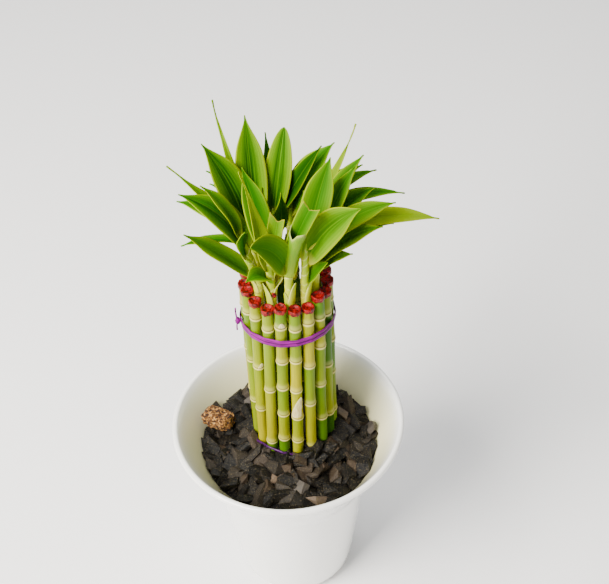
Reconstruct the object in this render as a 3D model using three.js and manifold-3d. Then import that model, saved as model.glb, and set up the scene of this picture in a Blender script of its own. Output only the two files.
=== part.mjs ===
// Lucky bamboo: a tied ring of cut canes standing in slate chips in a flared white pot,
// each cut sealed with red wax, with a crown of leafy shoots above.
// Millimetres, +Z up. The origin is the centre of the pot's flat foot.
import * as THREE from "three";
import { mergeVertices } from "three/addons/utils/BufferGeometryUtils.js";
import Module from "manifold-3d";

const wasm = await Module();
wasm.setup();

// Driving dimensions
const GAP = 0.3;
const SLIVER = 0.05;
const POT_HEIGHT = 185;
const POT_WALL = 5;
const POT_FLOOR = 7;
const POT_FOOT_RADIUS = 49.4;
const POT_SHOULDER = { z: 122.4, radius: 64.6 };
const POT_RIM_RADIUS = 97.6;
const POT_FLARE = 1.29;
const POT_CORNER = 13.2;
const POT_SIDES = 44;
const POT_FLOOR_CORNER = [11, 18];
const POT_FLOOR_FILLET = 6;

const BUNDLE = new THREE.Vector3(5.5, 13, 0);
const RING_RADIUS = 31.4;
const CANE_BOTTOM = 80;
const CANE_RADIUS = 4.5;
const RING_SCAR_RADIUS = 5;
const CANE_SIDES = 8;

// The rings of a wax seal, each with its height from the cut and its share of the full radius.
const WAX_HEIGHT = 5;
const WAX_OVERHANG = 0.7;
const WAX_RINGS = [
  { above: GAP - WAX_HEIGHT, share: 0.94 },
  { above: 0.2, share: 1 },
  { above: 1.2, share: 0.72 },
  { above: 0.5, share: 0.35 },
];
const WAX_LUMPS = [-0.35, 0.1];
const WAX_SEED = 300;

const GRAVEL_WALL = [60, POT_SHOULDER.z, 145, 160, 176];
const GRAVEL_BED_TOP = 152;
const CHIP_CENTRE = 156.5;
const CHIP_HEAP = { rise: 8, width: 15 };
const CHIP_REACH = 68.5;
const CHIP_COUNT = 96;
const CHIP_SEED = 11;
const CHIP_HALF = { length: [5.2, 7.4], width: [4.2, 5.6], height: [3, 4.6] };
const CHIP_LEAN = { side: 0.6, end: 0.5 };
const CHIP_TRIM = { length: [0.62, 1.08], width: [0.7, 1.1] };
const CHIP_ABOVE = 1.5;
const TRENCH = { inner: 25.9, outer: 37, top: 200, sides: 40, clear: 7 };

const SHOOT_RADIUS = 3.6;
const SHOOT_SIDES = 6;
const SHOOT_HEEL = 3;
const SHOOT_TIP_RADIUS = 2.3;
const SHOOT_TAPER_FROM = 335;
const SHOOT_STEP_ASIDE = { width: 0.9, over: 10 };
const SHOOT_UPRIGHT_OVER_CUT = 5;
const SHOOT_BEND = 1.6;

const BLADE = 0.8;
const BLADE_FOOT = 1.4;
const BLADE_TIP = 0.5;
const BLADE_FOLD = { flat: 12, foot: 26 };
const BLADE_ROOT_DEPTH = 1.2;
const TORN_EDGE = [3.2, -2.2, 5];

// One row for each cane, starting at the left and going round by the front to the right: the
// angle from the front at its cut and at its foot, the height of the cut, and its ring scars.
const CANES = [
  { top: -87, foot: -103.5, cut: 331, scars: [311, 262, 213, 160] },
  { top: -68.5, foot: -84, cut: 333, scars: [312, 258, 209, 150] },
  { top: -49.5, foot: -64, cut: 330, scars: [314, 259, 208, 158] },
  { top: -29, foot: -44, cut: 328, scars: [308, 239, 175, 120] },
  { top: -10, foot: -22.5, cut: 331, scars: [313, 275, 245, 214, 184, 140] },
  { top: 9, foot: -1, cut: 328.5, scars: [310, 276, 242, 210, 182, 138] },
  { top: 28, foot: 20.5, cut: 327, scars: [313, 266, 223, 171, 125] },
  { top: 47, foot: 42, cut: 332, scars: [311, 281, 238, 198, 150] },
  { top: 66, foot: 63.5, cut: 328, scars: [307, 250, 193, 140] },
  { top: 85, foot: 84, cut: 330, scars: [312, 268, 231, 186, 130] },
  { top: 104, foot: 104, cut: 331, scars: [309, 256, 204, 150] },
  { top: 125, foot: 123, cut: 329, scars: [313, 272, 222, 176, 120] },
  { top: 146, foot: 142, cut: 332, scars: [310, 247, 190, 133] },
  { top: 167, foot: 161, cut: 330, scars: [312, 280, 239, 188, 142] },
  { top: 188, foot: 180, cut: 328, scars: [308, 259, 217, 168, 118] },
  { top: 209, foot: 199, cut: 331, scars: [313, 266, 205, 151] },
  { top: 230, foot: 218, cut: 329, scars: [309, 276, 236, 184, 136] },
  { top: 251, foot: 237, cut: 332, scars: [311, 253, 198, 145] },
];

// The leafy shoots: the cane each grows from, how far round that cane from its inner side it
// sits, how far it leans outwards by its top, its top, and how many leaves it carries in all.
const SHOOTS = [
  { name: "left", cane: 0, round: -8, lean: 10, top: 378, leaves: 2 },
  { name: "left_front", cane: 1, round: 25, lean: 11, top: 374, leaves: 2 },
  { name: "front_left", cane: 3, round: 0, lean: 2, top: 382, leaves: 4 },
  { name: "front", cane: 5, round: -10, lean: 1, top: 378, leaves: 3 },
  { name: "front_right", cane: 6, round: 22, lean: 4, top: 380, leaves: 3 },
  { name: "right_front", cane: 8, round: 0, lean: 8, top: 378, leaves: 4 },
  { name: "right", cane: 10, round: 0, lean: 11, top: 378, leaves: 5 },
  { name: "right_back", cane: 12, round: -25, lean: 11, top: 382, leaves: 6 },
  { name: "back_right", cane: 13, round: -5, lean: 8, top: 384, leaves: 6 },
  { name: "back", cane: 14, round: 15, lean: 9, top: 380, leaves: 6 },
  { name: "back_left", cane: 16, round: -25, lean: 9, top: 384, leaves: 6 },
  { name: "left_back", cane: 17, round: -25, lean: 11, top: 380, leaves: 5 },
];

// How wide each kind of leaf is along its length: t to the power rise, times what is left of
// the length to the power fall. A cut leaf ends short, in a torn edge.
const LEAF_KINDS = {
  lance: { rise: 0.62, fall: 0.78, end: 1 },
  broad: { rise: 0.55, fall: 0.62, end: 1 },
  tail: { rise: 0.7, fall: 2.1, end: 1 },
  torn: { rise: 0.55, fall: 0.6, end: 0.62 },
};

// The leaves that a viewer at the front can tell apart, each with the height where it leaves
// its shoot, its tip, its full width, how far it bows, and how far its face turns to the front.
const SEEN_LEAVES = [
  { shoot: "front_right", from: 366, tip: [59, -24, 425], width: 25, kind: "broad", arch: 6, front: 0.9 },
  { shoot: "left", from: 358, tip: [-66, 16, 416], width: 24, kind: "lance", arch: 10, front: 0.5 },
  { shoot: "left_back", from: 360, tip: [-48, 48, 435], width: 27, kind: "lance", arch: 6, front: 0.4 },
  { shoot: "back_left", from: 366, tip: [-16, 68, 443], width: 24, kind: "lance", arch: 4, front: 0.3 },
  { shoot: "back", from: 368, tip: [12, 64, 433], width: 22, kind: "broad", arch: 7, front: 0.3 },
  { shoot: "front_right", from: 378, tip: [42, 18, 438], width: 22, kind: "broad", arch: 3, front: 0.8 },
  { shoot: "front", from: 360, tip: [-17, -38, 409], width: 24, kind: "broad", arch: 6, front: 0.9 },
  { shoot: "front", from: 355, tip: [19, -10, 412], width: 14, kind: "torn", arch: 2, front: 0.9 },
  { shoot: "front", from: 375, tip: [37, -25, 451], width: 14, kind: "torn", arch: 2, front: 0.9 },
  { shoot: "front_left", from: 352, tip: [11, -8, 440], width: 14, kind: "torn", arch: 3, front: 0.7 },
  { shoot: "right", from: 366, tip: [120, 14, 379], width: 16, kind: "lance", arch: 9, front: 0.4 },
  { shoot: "left_front", from: 346, tip: [-64, -3, 397], width: 16, kind: "lance", arch: 2, front: 0.5 },
  { shoot: "front_left", from: 372, tip: [-20, 20, 433], width: 19, kind: "lance", arch: 4, front: 0.8 },
  { shoot: "front_left", from: 360, tip: [-21, -16, 457], width: 13, kind: "tail", arch: 2, front: 0.8 },
  { shoot: "right_front", from: 352, tip: [76, -8, 394], width: 19, kind: "lance", arch: 7, front: 0.5 },
  { shoot: "right_front", from: 370, tip: [87, 8, 402], width: 18, kind: "lance", arch: 8, front: 0.5 },
  { shoot: "left_back", from: 369, tip: [-73, 42, 424], width: 15, kind: "tail", arch: 6, front: 0.3 },
  { shoot: "back", from: 365, tip: [37, 40, 432], width: 15, kind: "lance", arch: 2, front: 0.6 },
  { shoot: "back_right", from: 370, tip: [47, 50, 427], width: 24, kind: "lance", arch: 6, front: 0.4 },
  { shoot: "right_front", from: 372, tip: [61, 22, 428], width: 15, kind: "lance", arch: 6, front: 0.6 },
  { shoot: "right", from: 372, tip: [67, 38, 423], width: 15, kind: "lance", arch: 7, front: 0.5 },
  { shoot: "front_left", from: 346, tip: [-23, -22, 363], width: 17, kind: "broad", arch: 6, front: 0.3 },
  { shoot: "front_right", from: 341, tip: [36, -14, 369], width: 13, kind: "broad", arch: 2, front: 0.5 },
  { shoot: "back", from: 352, tip: [-8, 78, 406], width: 14, kind: "lance", arch: 4, front: 0.4 },
  { shoot: "back_left", from: 366, tip: [-39, 90, 443], width: 9, kind: "tail", arch: 8, front: 0.3 },
  { shoot: "back", from: 360, tip: [-2, 76, 421], width: 9, kind: "lance", arch: 6, front: 0.3 },
  { shoot: "right_back", from: 376, tip: [63, 54, 439], width: 10, kind: "tail", arch: 6, front: 0.3 },
  { shoot: "right_back", from: 368, tip: [78, 52, 398], width: 13, kind: "lance", arch: 10, front: 0.3 },
  { shoot: "left", from: 374, tip: [-50, 18, 421], width: 12, kind: "lance", arch: 6, front: 0.4 },
  { shoot: "left_front", from: 368, tip: [-21, -6, 396], width: 12, kind: "lance", arch: 4, front: 0.5 },
  { shoot: "right_front", from: 342, tip: [54, -12, 374], width: 12, kind: "broad", arch: 4, front: 0.4 },
  { shoot: "back", from: 350, tip: [6, 8, 418], width: 16, kind: "lance", arch: -6, front: 0.5 },
  { shoot: "back_right", from: 352, tip: [22, 11, 416], width: 15, kind: "lance", arch: -6, front: 0.5 },
  { shoot: "back_left", from: 354, tip: [-7, 17, 416], width: 15, kind: "lance", arch: -6, front: 0.5 },
  { shoot: "right", from: 353, tip: [36, 19, 412], width: 13, kind: "lance", arch: -3, front: 0.5 },
];

// What the other leaves are drawn from: their heading from straight outwards, how steeply they
// rise, their length and their width.
const FREE_LEAF = {
  swing: 80,
  lift: [10, 58],
  length: [50, 82],
  width: [12, 19],
  arch: [0.1, 0.2],
  twist: 0.35,
  from: 354,
  liftSpread: 14,
  lanceShare: 0.7,
};
const LEAF_SEED = 20;
const DRAWS_PER_LEAF = 60;
const LEAF_CLEARANCE = 2.3;
const OWN_CLEARANCE = 2;
const OWN_ROOM = 0.2;
const STEM_CLEARANCE = 1.6;
const LOWEST_LEAF = 338;
// How far a free tip may reach from the middle of the bundle, and its height and depth together.
const WIDEST_CROWN = 104;
const FREE_TIP_REACH = 468;
const TURNS = [0, 3, -3, 6, -6, 10, -10, 15, -15, 22, -22];
const TILTS = [0, 3, -3, 7, -7, 12, -12];

// Materials
const finish = (color, roughness) => new THREE.MeshStandardMaterial({ color, roughness });
const whiteGlaze = finish("#f4f4ef", 0.15);
const slate = finish("#3b3a3a", 0.8);
const bark = finish("#a8713b", 0.95);
const caneSkin = finish("#a3c52c", 0.4);
const leafSkin = finish("#5db31a", 0.4);
const redWax = finish("#d9221f", 0.35);
const magentaRibbon = finish("#bf3fd0", 0.35);
const purpleTie = finish("#6a1f7a", 0.4);

// Solids
function seeded(seed) {
  let state = seed >>> 0;
  return () => {
    state = (state + 0x6d2b79f5) >>> 0;
    let word = Math.imul(state ^ (state >>> 15), state | 1);
    word ^= word + Math.imul(word ^ (word >>> 7), word | 61);
    return ((word ^ (word >>> 14)) >>> 0) / 4294967296;
  };
}

const between = (random, low, high) => low + (high - low) * random();
const radians = THREE.MathUtils.degToRad;
const UP = new THREE.Vector3(0, 0, 1);
// The way to a viewer who stands before the plant and looks down on it.
const FRONT = new THREE.Vector3(0, -0.72, 0.69);

function bodyOf(points, faces) {
  const geometry = new THREE.BufferGeometry();
  const coordinates = points.flatMap((point) => [point.x, point.y, point.z]);
  geometry.setAttribute("position", new THREE.Float32BufferAttribute(coordinates, 3));
  geometry.setIndex(faces.flat());
  return geometry;
}

function solidOf(geometry) {
  const bare = geometry.clone();
  bare.deleteAttribute("normal");
  bare.deleteAttribute("uv");
  const merged = mergeVertices(bare, 1e-4);
  const corners = merged.index.array;
  const kept = [];
  for (let i = 0; i < corners.length; i += 3) {
    const [a, b, c] = [corners[i], corners[i + 1], corners[i + 2]];
    if (a !== b && b !== c && c !== a) kept.push(a, b, c);
  }
  const vertProperties = new Float32Array(merged.attributes.position.array);
  return new wasm.Manifold(new wasm.Mesh({ numProp: 3, vertProperties, triVerts: new Uint32Array(kept) }));
}

function meshOf(name, solid, material) {
  const { vertProperties, triVerts } = solid.getMesh();
  const geometry = new THREE.BufferGeometry();
  geometry.setAttribute("position", new THREE.Float32BufferAttribute(vertProperties, 3));
  geometry.setIndex(Array.from(triVerts));
  const mesh = new THREE.Mesh(geometry, material);
  mesh.name = name;
  return mesh;
}

// The outer surface of a joined solid, without sealed hollows, loose scraps and slivers.
function largestOf(solid) {
  const larger = (best, body) => (body.volume() > best.volume() ? body : best);
  return solid.simplify(SLIVER).decompose().reduce(larger);
}

// A closed body through rings of equally many points, each ring counter-clockwise seen from the end.
function loft(rings) {
  const sides = rings[0].length;
  const points = rings.flat();
  const faces = [];
  for (let row = 0; row + 1 < rings.length; row++)
    for (let i = 0; i < sides; i++) {
      const j = (i + 1) % sides;
      const [a, b] = [row * sides + i, row * sides + j];
      faces.push([a, b, b + sides], [a, b + sides, a + sides]);
    }
  const last = (rings.length - 1) * sides;
  for (let i = 1; i + 1 < sides; i++) {
    faces.push([0, i + 1, i]);
    faces.push([last, last + i, last + i + 1]);
  }
  return bodyOf(points, faces);
}

function ringAt(centre, radius, sides, phase = 0) {
  return Array.from({ length: sides }, (_, i) => {
    const angle = ((i + phase) / sides) * 2 * Math.PI;
    const [x, y] = [radius * Math.cos(angle), radius * Math.sin(angle)];
    return new THREE.Vector3(centre.x + x, centre.y + y, centre.z);
  });
}

function turned(profile, sides) {
  return new THREE.LatheGeometry(profile, sides).rotateX(Math.PI / 2);
}

// The pot
function potRadius(z) {
  const slope = (POT_SHOULDER.radius - POT_FOOT_RADIUS) / POT_SHOULDER.z;
  const straight = POT_FOOT_RADIUS + slope * z;
  const atRim = POT_FOOT_RADIUS + slope * POT_HEIGHT;
  const up = Math.max(0, (z - POT_SHOULDER.z) / (POT_HEIGHT - POT_SHOULDER.z));
  const corner = z < POT_CORNER ? POT_CORNER - Math.sqrt(POT_CORNER ** 2 - (POT_CORNER - z) ** 2) : 0;
  return straight + (POT_RIM_RADIUS - atRim) * up ** POT_FLARE - corner;
}

function outwards(z) {
  const step = 0.5;
  const run = new THREE.Vector2(potRadius(z + step) - potRadius(z - step), 2 * step).normalize();
  return new THREE.Vector2(run.y, -run.x);
}

const innerRadius = (z, clearance = 0) => potRadius(z) - (POT_WALL + clearance) / outwards(z).x;

function pot() {
  const corner = [0, 25, 50, 75].map((angle) => POT_CORNER * (1 - Math.cos(radians(angle))));
  const walls = [...corner, 60, POT_SHOULDER.z, 138, 152, 165, 176];
  const outside = walls.map((z) => new THREE.Vector2(potRadius(z), z));
  const lipHeight = POT_HEIGHT - POT_WALL / 2 - 0.5;
  const out = outwards(lipHeight);
  const edge = new THREE.Vector2(potRadius(lipHeight), lipHeight);
  const lipCentre = edge.clone().addScaledVector(out, -POT_WALL / 2);
  const lip = [0, 45, 90, 135, 180].map((angle) => {
    const turn = Math.atan2(out.y, out.x) + radians(angle);
    return new THREE.Vector2(Math.cos(turn), Math.sin(turn)).multiplyScalar(POT_WALL / 2).add(lipCentre);
  });
  const heights = [...POT_FLOOR_CORNER, ...GRAVEL_WALL].reverse();
  const inside = heights.map((z) => new THREE.Vector2(innerRadius(z), z));
  const floorRadius = innerRadius(POT_FLOOR_CORNER[0]) - POT_FLOOR_FILLET;
  const floor = [new THREE.Vector2(floorRadius, POT_FLOOR), new THREE.Vector2(0, POT_FLOOR)];
  const profile = [new THREE.Vector2(0, 0), ...outside, ...lip, ...inside, ...floor];
  return solidOf(turned(profile, POT_SIDES));
}

// The canes
function ringPoint(angle, radius, z) {
  const turn = radians(angle);
  return new THREE.Vector3(BUNDLE.x + radius * Math.sin(turn), BUNDLE.y - radius * Math.cos(turn), z);
}

function caneAxis(cane, z) {
  const foot = ringPoint(cane.foot, RING_RADIUS, CANE_BOTTOM);
  const cut = ringPoint(cane.top, RING_RADIUS, cane.cut);
  return foot.lerp(cut, (z - CANE_BOTTOM) / (cane.cut - CANE_BOTTOM));
}

// A flat of the cane's ring faces its shoot, or the middle of the bundle where it has none.
function seatWay(cane) {
  const shoot = SHOOTS.find((one) => CANES[one.cane] === cane);
  const out = caneAxis(cane, cane.cut).sub(BUNDLE).setZ(0).normalize();
  return out.applyAxisAngle(UP, -radians(shoot ? shoot.round : 0));
}

function flatTowards(way, sides) {
  return (Math.atan2(way.y, way.x) * sides) / (2 * Math.PI) - 0.5;
}

function caneRing(cane, z, radius) {
  return ringAt(caneAxis(cane, z), radius, CANE_SIDES, flatTowards(seatWay(cane), CANE_SIDES));
}

function caneBody(cane) {
  const scarDepth = 1.6;
  const heights = [[CANE_BOTTOM, CANE_RADIUS]];
  for (const z of [...cane.scars].reverse())
    heights.push([z - scarDepth, CANE_RADIUS], [z, RING_SCAR_RADIUS]);
  heights.push([cane.cut - WAX_HEIGHT, CANE_RADIUS]);
  return solidOf(loft(heights.map(([z, radius]) => caneRing(cane, z, radius))));
}

// The wax seal is a plug on the end of the cane, wider than it, with a hollowed top.
function waxSeal(cane, index) {
  const random = seeded(WAX_SEED + index);
  const rings = WAX_RINGS.map(({ above, share }) => {
    const z = cane.cut + above;
    const radius = (CANE_RADIUS + WAX_OVERHANG) * share;
    const centre = caneAxis(cane, z);
    const lumpy = above > 0 && share > 0.5;
    return caneRing(cane, z, radius).map((point) => {
      const lump = lumpy ? between(random, ...WAX_LUMPS) : 0;
      return point.sub(centre).multiplyScalar(1 + lump / radius).add(centre);
    });
  });
  return solidOf(loft(rings));
}

// The shoots and their leaves
const inradius = (radius, sides) => radius * Math.cos(Math.PI / sides);
const shootRoot = (shoot) => CANES[shoot.cane].scars[0] - SHOOT_HEEL;

function shootAxis(shoot, z) {
  const cane = CANES[shoot.cane];
  const seat = inradius(RING_SCAR_RADIUS, CANE_SIDES) + GAP + inradius(SHOOT_RADIUS, SHOOT_SIDES);
  const { width, over } = SHOOT_STEP_ASIDE;
  const aside = width * THREE.MathUtils.clamp((z - cane.scars[0]) / over, 0, 1);
  const clear = cane.cut + SHOOT_UPRIGHT_OVER_CUT;
  const along = (z - clear) / (shoot.top - clear);
  const bend = z < clear ? 0 : shoot.lean * along ** SHOOT_BEND;
  const foot = caneAxis(cane, Math.min(z, cane.cut));
  const out = foot.clone().sub(BUNDLE).setZ(0).normalize();
  const base = new THREE.Vector3(foot.x, foot.y, z);
  return base.addScaledVector(seatWay(cane), -seat - aside).addScaledVector(out, bend);
}

function shootRadius(shoot, z) {
  const along = (z - SHOOT_TAPER_FROM) / (shoot.top - SHOOT_TAPER_FROM);
  return THREE.MathUtils.lerp(SHOOT_RADIUS, SHOOT_TIP_RADIUS, THREE.MathUtils.clamp(along, 0, 1));
}

function shootStem(shoot) {
  const root = shootRoot(shoot);
  const rings = [[root, 0.6]];
  for (const z of [root + SHOOT_HEEL, 324, 340, 360]) rings.push([z, 1]);
  rings.push([shoot.top, 1], [shoot.top + 3, 0.5]);
  const phase = flatTowards(seatWay(CANES[shoot.cane]), SHOOT_SIDES);
  const ring = ([z, share]) => {
    return ringAt(shootAxis(shoot, z), share * shootRadius(shoot, z), SHOOT_SIDES, phase);
  };
  return solidOf(loft(rings.map(ring)));
}

function upperFace(chord) {
  const flat = new THREE.Vector3(chord.x, chord.y, 0);
  const run = flat.length();
  return flat.normalize().multiplyScalar(-chord.z).addScaledVector(UP, run).normalize();
}

// The leaf's midrib is a quadratic curve from the shoot to the tip, bowed towards its upper face.
function leafFrame(leaf, t) {
  const chord = leaf.tip.clone().sub(leaf.base);
  const normal = upperFace(chord);
  const knee = leaf.base.clone().addScaledVector(chord, 0.5).addScaledVector(normal, 2 * leaf.arch);
  const point = new THREE.QuadraticBezierCurve3(leaf.base, knee, leaf.tip).getPoint(t);
  const tangent = knee.clone().sub(leaf.base).multiplyScalar(1 - t);
  tangent.addScaledVector(leaf.tip.clone().sub(knee), t).normalize();
  const face = normal.clone().lerp(FRONT, leaf.front).addScaledVector(leaf.across, leaf.twist).normalize();
  const side = tangent.clone().cross(face).normalize();
  return { point, tangent, side, normal: side.clone().cross(tangent) };
}

function halfWidth(leaf, t) {
  const { rise, fall } = LEAF_KINDS[leaf.kind];
  const widest = rise / (rise + fall);
  const most = widest ** rise * (1 - widest) ** fall;
  const blade = (t ** rise * (1 - t) ** fall) / most;
  return Math.max(BLADE_TIP, (leaf.width / 2) * blade + BLADE_FOOT * (1 - t) ** 8);
}

const foldAt = (t) => radians(BLADE_FOLD.flat + BLADE_FOLD.foot * (1 - t) ** 2);

function leafPoint(leaf, t, across) {
  const { point, side, normal } = leafFrame(leaf, t);
  const reach = across * halfWidth(leaf, t);
  point.addScaledVector(side, reach * Math.cos(foldAt(t)));
  return point.addScaledVector(normal, Math.abs(reach) * Math.sin(foldAt(t)));
}

function leafBody(leaf) {
  const { end } = LEAF_KINDS[leaf.kind];
  const tear = end < 1 ? TORN_EDGE : [0, 0, 0];
  const stations = [0, 0.16, 0.36, 0.58, 0.8, 1].map((t) => t * end);
  const upper = stations.map((t, row) =>
    [-1, 0, 1].map((across, i) => {
      const point = leafPoint(leaf, t, across);
      const torn = row === stations.length - 1 ? tear[i] : 0;
      return point.addScaledVector(leafFrame(leaf, t).tangent, torn);
    }),
  );
  const lower = stations.map((t, row) =>
    upper[row].map((point) => point.clone().addScaledVector(leafFrame(leaf, t).normal, -BLADE)),
  );
  const points = [...upper.flat(), ...lower.flat()];
  const at = (row, i, under) => row * 3 + i + (under ? upper.length * 3 : 0);
  const faces = [];
  const quad = (a, b, c, d) => faces.push([a, b, c], [a, c, d]);
  for (let row = 0; row + 1 < stations.length; row++) {
    for (const i of [0, 1]) {
      quad(at(row, i), at(row, i + 1), at(row + 1, i + 1), at(row + 1, i));
      quad(at(row, i, 1), at(row + 1, i, 1), at(row + 1, i + 1, 1), at(row, i + 1, 1));
    }
    quad(at(row, 0), at(row + 1, 0), at(row + 1, 0, 1), at(row, 0, 1));
    quad(at(row + 1, 2), at(row, 2), at(row, 2, 1), at(row + 1, 2, 1));
  }
  const tip = stations.length - 1;
  for (const i of [0, 1]) {
    quad(at(0, i + 1), at(0, i), at(0, i, 1), at(0, i + 1, 1));
    quad(at(tip, i), at(tip, i + 1), at(tip, i + 1, 1), at(tip, i, 1));
  }
  return solidOf(bodyOf(points, faces));
}

// Points spread over a leaf, with how far along it each lies.
function leafSamples(leaf) {
  const rows = 32;
  const { end } = LEAF_KINDS[leaf.kind];
  const samples = [];
  for (let row = 3; row <= rows; row++)
    for (const across of [-1, -0.75, -0.5, -0.25, 0, 0.25, 0.5, 0.75, 1]) {
      const t = (row / rows) * end;
      samples.push({ point: leafPoint(leaf, t, across), t });
    }
  return samples;
}

function isClear(leaf, samples, taken) {
  return samples.every(({ point, t }) => {
    if (point.z < LOWEST_LEAF) return false;
    return taken.every((other) => {
      const own = other.shoot === leaf.shoot;
      if (own && (t < OWN_ROOM || other.t < OWN_ROOM)) return true;
      return other.point.distanceToSquared(point) >= (own ? OWN_CLEARANCE : other.reach) ** 2;
    });
  });
}

// A leaf starts just under the skin of its shoot, on the side that it leaves from.
function leafToward(shoot, from, tip, shape) {
  const base = shootAxis(shoot, from);
  const away = tip.clone().sub(base).setZ(0).normalize();
  base.addScaledVector(away, shootRadius(shoot, from) - BLADE_ROOT_DEPTH);
  const across = tip.clone().sub(base).cross(UP).normalize();
  return { shoot: shoot.name, base, tip, across, twist: 0, ...shape };
}

// A seen leaf takes the first turn and tilt of its tip that keep it clear of the leaves before it.
function seenLeaf(row, shoot, taken) {
  const { from, width, kind, arch, front } = row;
  const base = shootAxis(shoot, from);
  const chord = new THREE.Vector3(...row.tip).sub(base);
  for (const tilt of TILTS)
    for (const turn of TURNS) {
      const across = chord.clone().cross(UP).normalize();
      const turned = chord.clone().applyAxisAngle(across, radians(tilt));
      const tip = turned.applyAxisAngle(UP, radians(turn)).add(base);
      const leaf = leafToward(shoot, from, tip, { width, kind, arch, front });
      const samples = leafSamples(leaf);
      if (isClear(leaf, samples, taken)) return { leaf, samples };
    }
  return null;
}

function freeLeaf(shoot, slot, random, taken) {
  const out = shootAxis(shoot, shoot.top).sub(BUNDLE);
  const outHeading = Math.atan2(out.y, out.x);
  for (let draw = 0; draw < DRAWS_PER_LEAF; draw++) {
    const level = (slot + random()) / shoot.leaves;
    const from = THREE.MathUtils.lerp(FREE_LEAF.from, shoot.top, level);
    const heading = outHeading + radians(FREE_LEAF.swing * (2 * random() - 1));
    const rise = THREE.MathUtils.lerp(...FREE_LEAF.lift, level);
    const lift = radians(rise + FREE_LEAF.liftSpread * (random() - 0.5));
    const length = between(random, ...FREE_LEAF.length);
    const width = between(random, ...FREE_LEAF.width);
    const arch = length * between(random, ...FREE_LEAF.arch);
    const twist = FREE_LEAF.twist * (2 * random() - 1);
    const kind = random() < FREE_LEAF.lanceShare ? "lance" : "broad";
    const flat = new THREE.Vector3(Math.cos(heading), Math.sin(heading), 0);
    const tip = shootAxis(shoot, from).addScaledVector(flat, length * Math.cos(lift));
    tip.z += length * Math.sin(lift);
    const reach = Math.hypot(tip.x - BUNDLE.x, tip.y - BUNDLE.y);
    if (reach > WIDEST_CROWN || tip.z + tip.y > FREE_TIP_REACH) continue;
    const leaf = { ...leafToward(shoot, from, tip, { width, kind, arch, front: 0 }), twist };
    const samples = leafSamples(leaf);
    if (isClear(leaf, samples, taken)) return { leaf, samples };
  }
  return null;
}

function growLeaves() {
  const taken = [];
  for (const shoot of SHOOTS)
    for (let z = shootRoot(shoot); z <= shoot.top + 4; z += 3)
      taken.push({
        point: shootAxis(shoot, z),
        t: 0,
        shoot: shoot.name,
        reach: shootRadius(shoot, z) + STEM_CLEARANCE,
      });
  const random = seeded(LEAF_SEED);
  const leaves = [];
  const keep = (found) => {
    if (!found) return;
    leaves.push(found.leaf);
    for (const { point, t } of found.samples)
      taken.push({ point, t, shoot: found.leaf.shoot, reach: LEAF_CLEARANCE });
  };
  const shootNamed = (name) => SHOOTS.find((shoot) => shoot.name === name);
  for (const row of SEEN_LEAVES) keep(seenLeaf(row, shootNamed(row.shoot), taken));
  for (const shoot of SHOOTS) {
    const seen = SEEN_LEAVES.filter((row) => row.shoot === shoot.name).length;
    for (let slot = 0; slot < shoot.leaves - seen; slot++) {
      const level = (slot * shoot.leaves) / Math.max(1, shoot.leaves - seen);
      keep(freeLeaf(shoot, level, random, taken));
    }
  }
  return leaves;
}

function leafyShoot(shoot, leaves) {
  const blades = leaves.filter((leaf) => leaf.shoot === shoot.name).map(leafBody);
  return largestOf(blades.reduce((solid, blade) => solid.add(blade), shootStem(shoot)));
}

// The ties
function outlineOf(z, clearance, count) {
  const centres = CANES.map((cane) => caneAxis(cane, z));
  return Array.from({ length: count }, (_, i) => {
    const turn = (i / count) * 2 * Math.PI;
    const way = new THREE.Vector3(Math.cos(turn), Math.sin(turn), 0);
    const farthest = centres.reduce((best, c) => (c.dot(way) > best.dot(way) ? c : best));
    return farthest.clone().addScaledVector(way, RING_SCAR_RADIUS + clearance);
  });
}

function band(z, clearance, height, thickness, count) {
  const inner = outlineOf(z, clearance, count);
  const outer = outlineOf(z, clearance + thickness, count);
  const low = (p) => p.clone().setZ(z - height / 2);
  const high = (p) => p.clone().setZ(z + height / 2);
  const points = [...outer.map(low), ...outer.map(high), ...inner.map(high), ...inner.map(low)];
  const faces = [];
  for (let level = 0; level < 4; level++)
    for (let i = 0; i < count; i++) {
      const j = (i + 1) % count;
      const next = (level + 1) % 4;
      const [a, b, c, d] = [level * count + i, level * count + j, next * count + j, next * count + i];
      faces.push([a, b, c], [a, c, d]);
    }
  return solidOf(bodyOf(points, faces));
}

const TIE_SIDES = 36;
const RIBBON = { z: 297, width: 5.6, thickness: 1.1 };
const LOW_TIE = { z: 169.4, width: 2.2, thickness: 1.2 };
const KNOT = {
  angle: -84,
  size: [2.2, 3, 3.2],
  seed: 7,
  rough: 0.15,
  tails: [
    { round: -3, out: 1.2, up: 12, half: 0.9 },
    { round: 6, out: 1.8, up: -7, half: 1.1 },
  ],
};

function ball(centre, size, seed, rough) {
  const random = seeded(seed);
  const geometry = new THREE.IcosahedronGeometry(1, 1);
  geometry.deleteAttribute("normal");
  geometry.deleteAttribute("uv");
  const merged = mergeVertices(geometry, 1e-4);
  const place = merged.attributes.position;
  for (let i = 0; i < place.count; i++) {
    const stretch = 1 + rough * (2 * random() - 1);
    const [x, y, z] = [place.getX(i), place.getY(i), place.getZ(i)];
    place.setXYZ(i, x * size[0] * stretch, y * size[1] * stretch, z * size[2] * stretch);
  }
  return solidOf(merged.translate(centre.x, centre.y, centre.z));
}

function ribbon() {
  const { angle, size, seed, rough, tails: ends } = KNOT;
  const radius = RING_RADIUS + RING_SCAR_RADIUS + GAP + size[0];
  const knot = ringPoint(angle, radius, RIBBON.z + 1);
  const knotBody = ball(knot, size, seed, rough);
  const tails = ends.map(({ round, out, up, half }) => {
    const end = ringPoint(angle + round, radius + out, RIBBON.z + up);
    const rings = [knot, knot.clone().lerp(end, 0.6), end].map((p) => ringAt(p, half, 5));
    if (end.z < knot.z) rings.reverse();
    return solidOf(loft(rings));
  });
  const loop = band(RIBBON.z, GAP, RIBBON.width, RIBBON.thickness, TIE_SIDES);
  return tails.reduce((solid, tail) => solid.add(tail), loop.add(knotBody));
}

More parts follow.
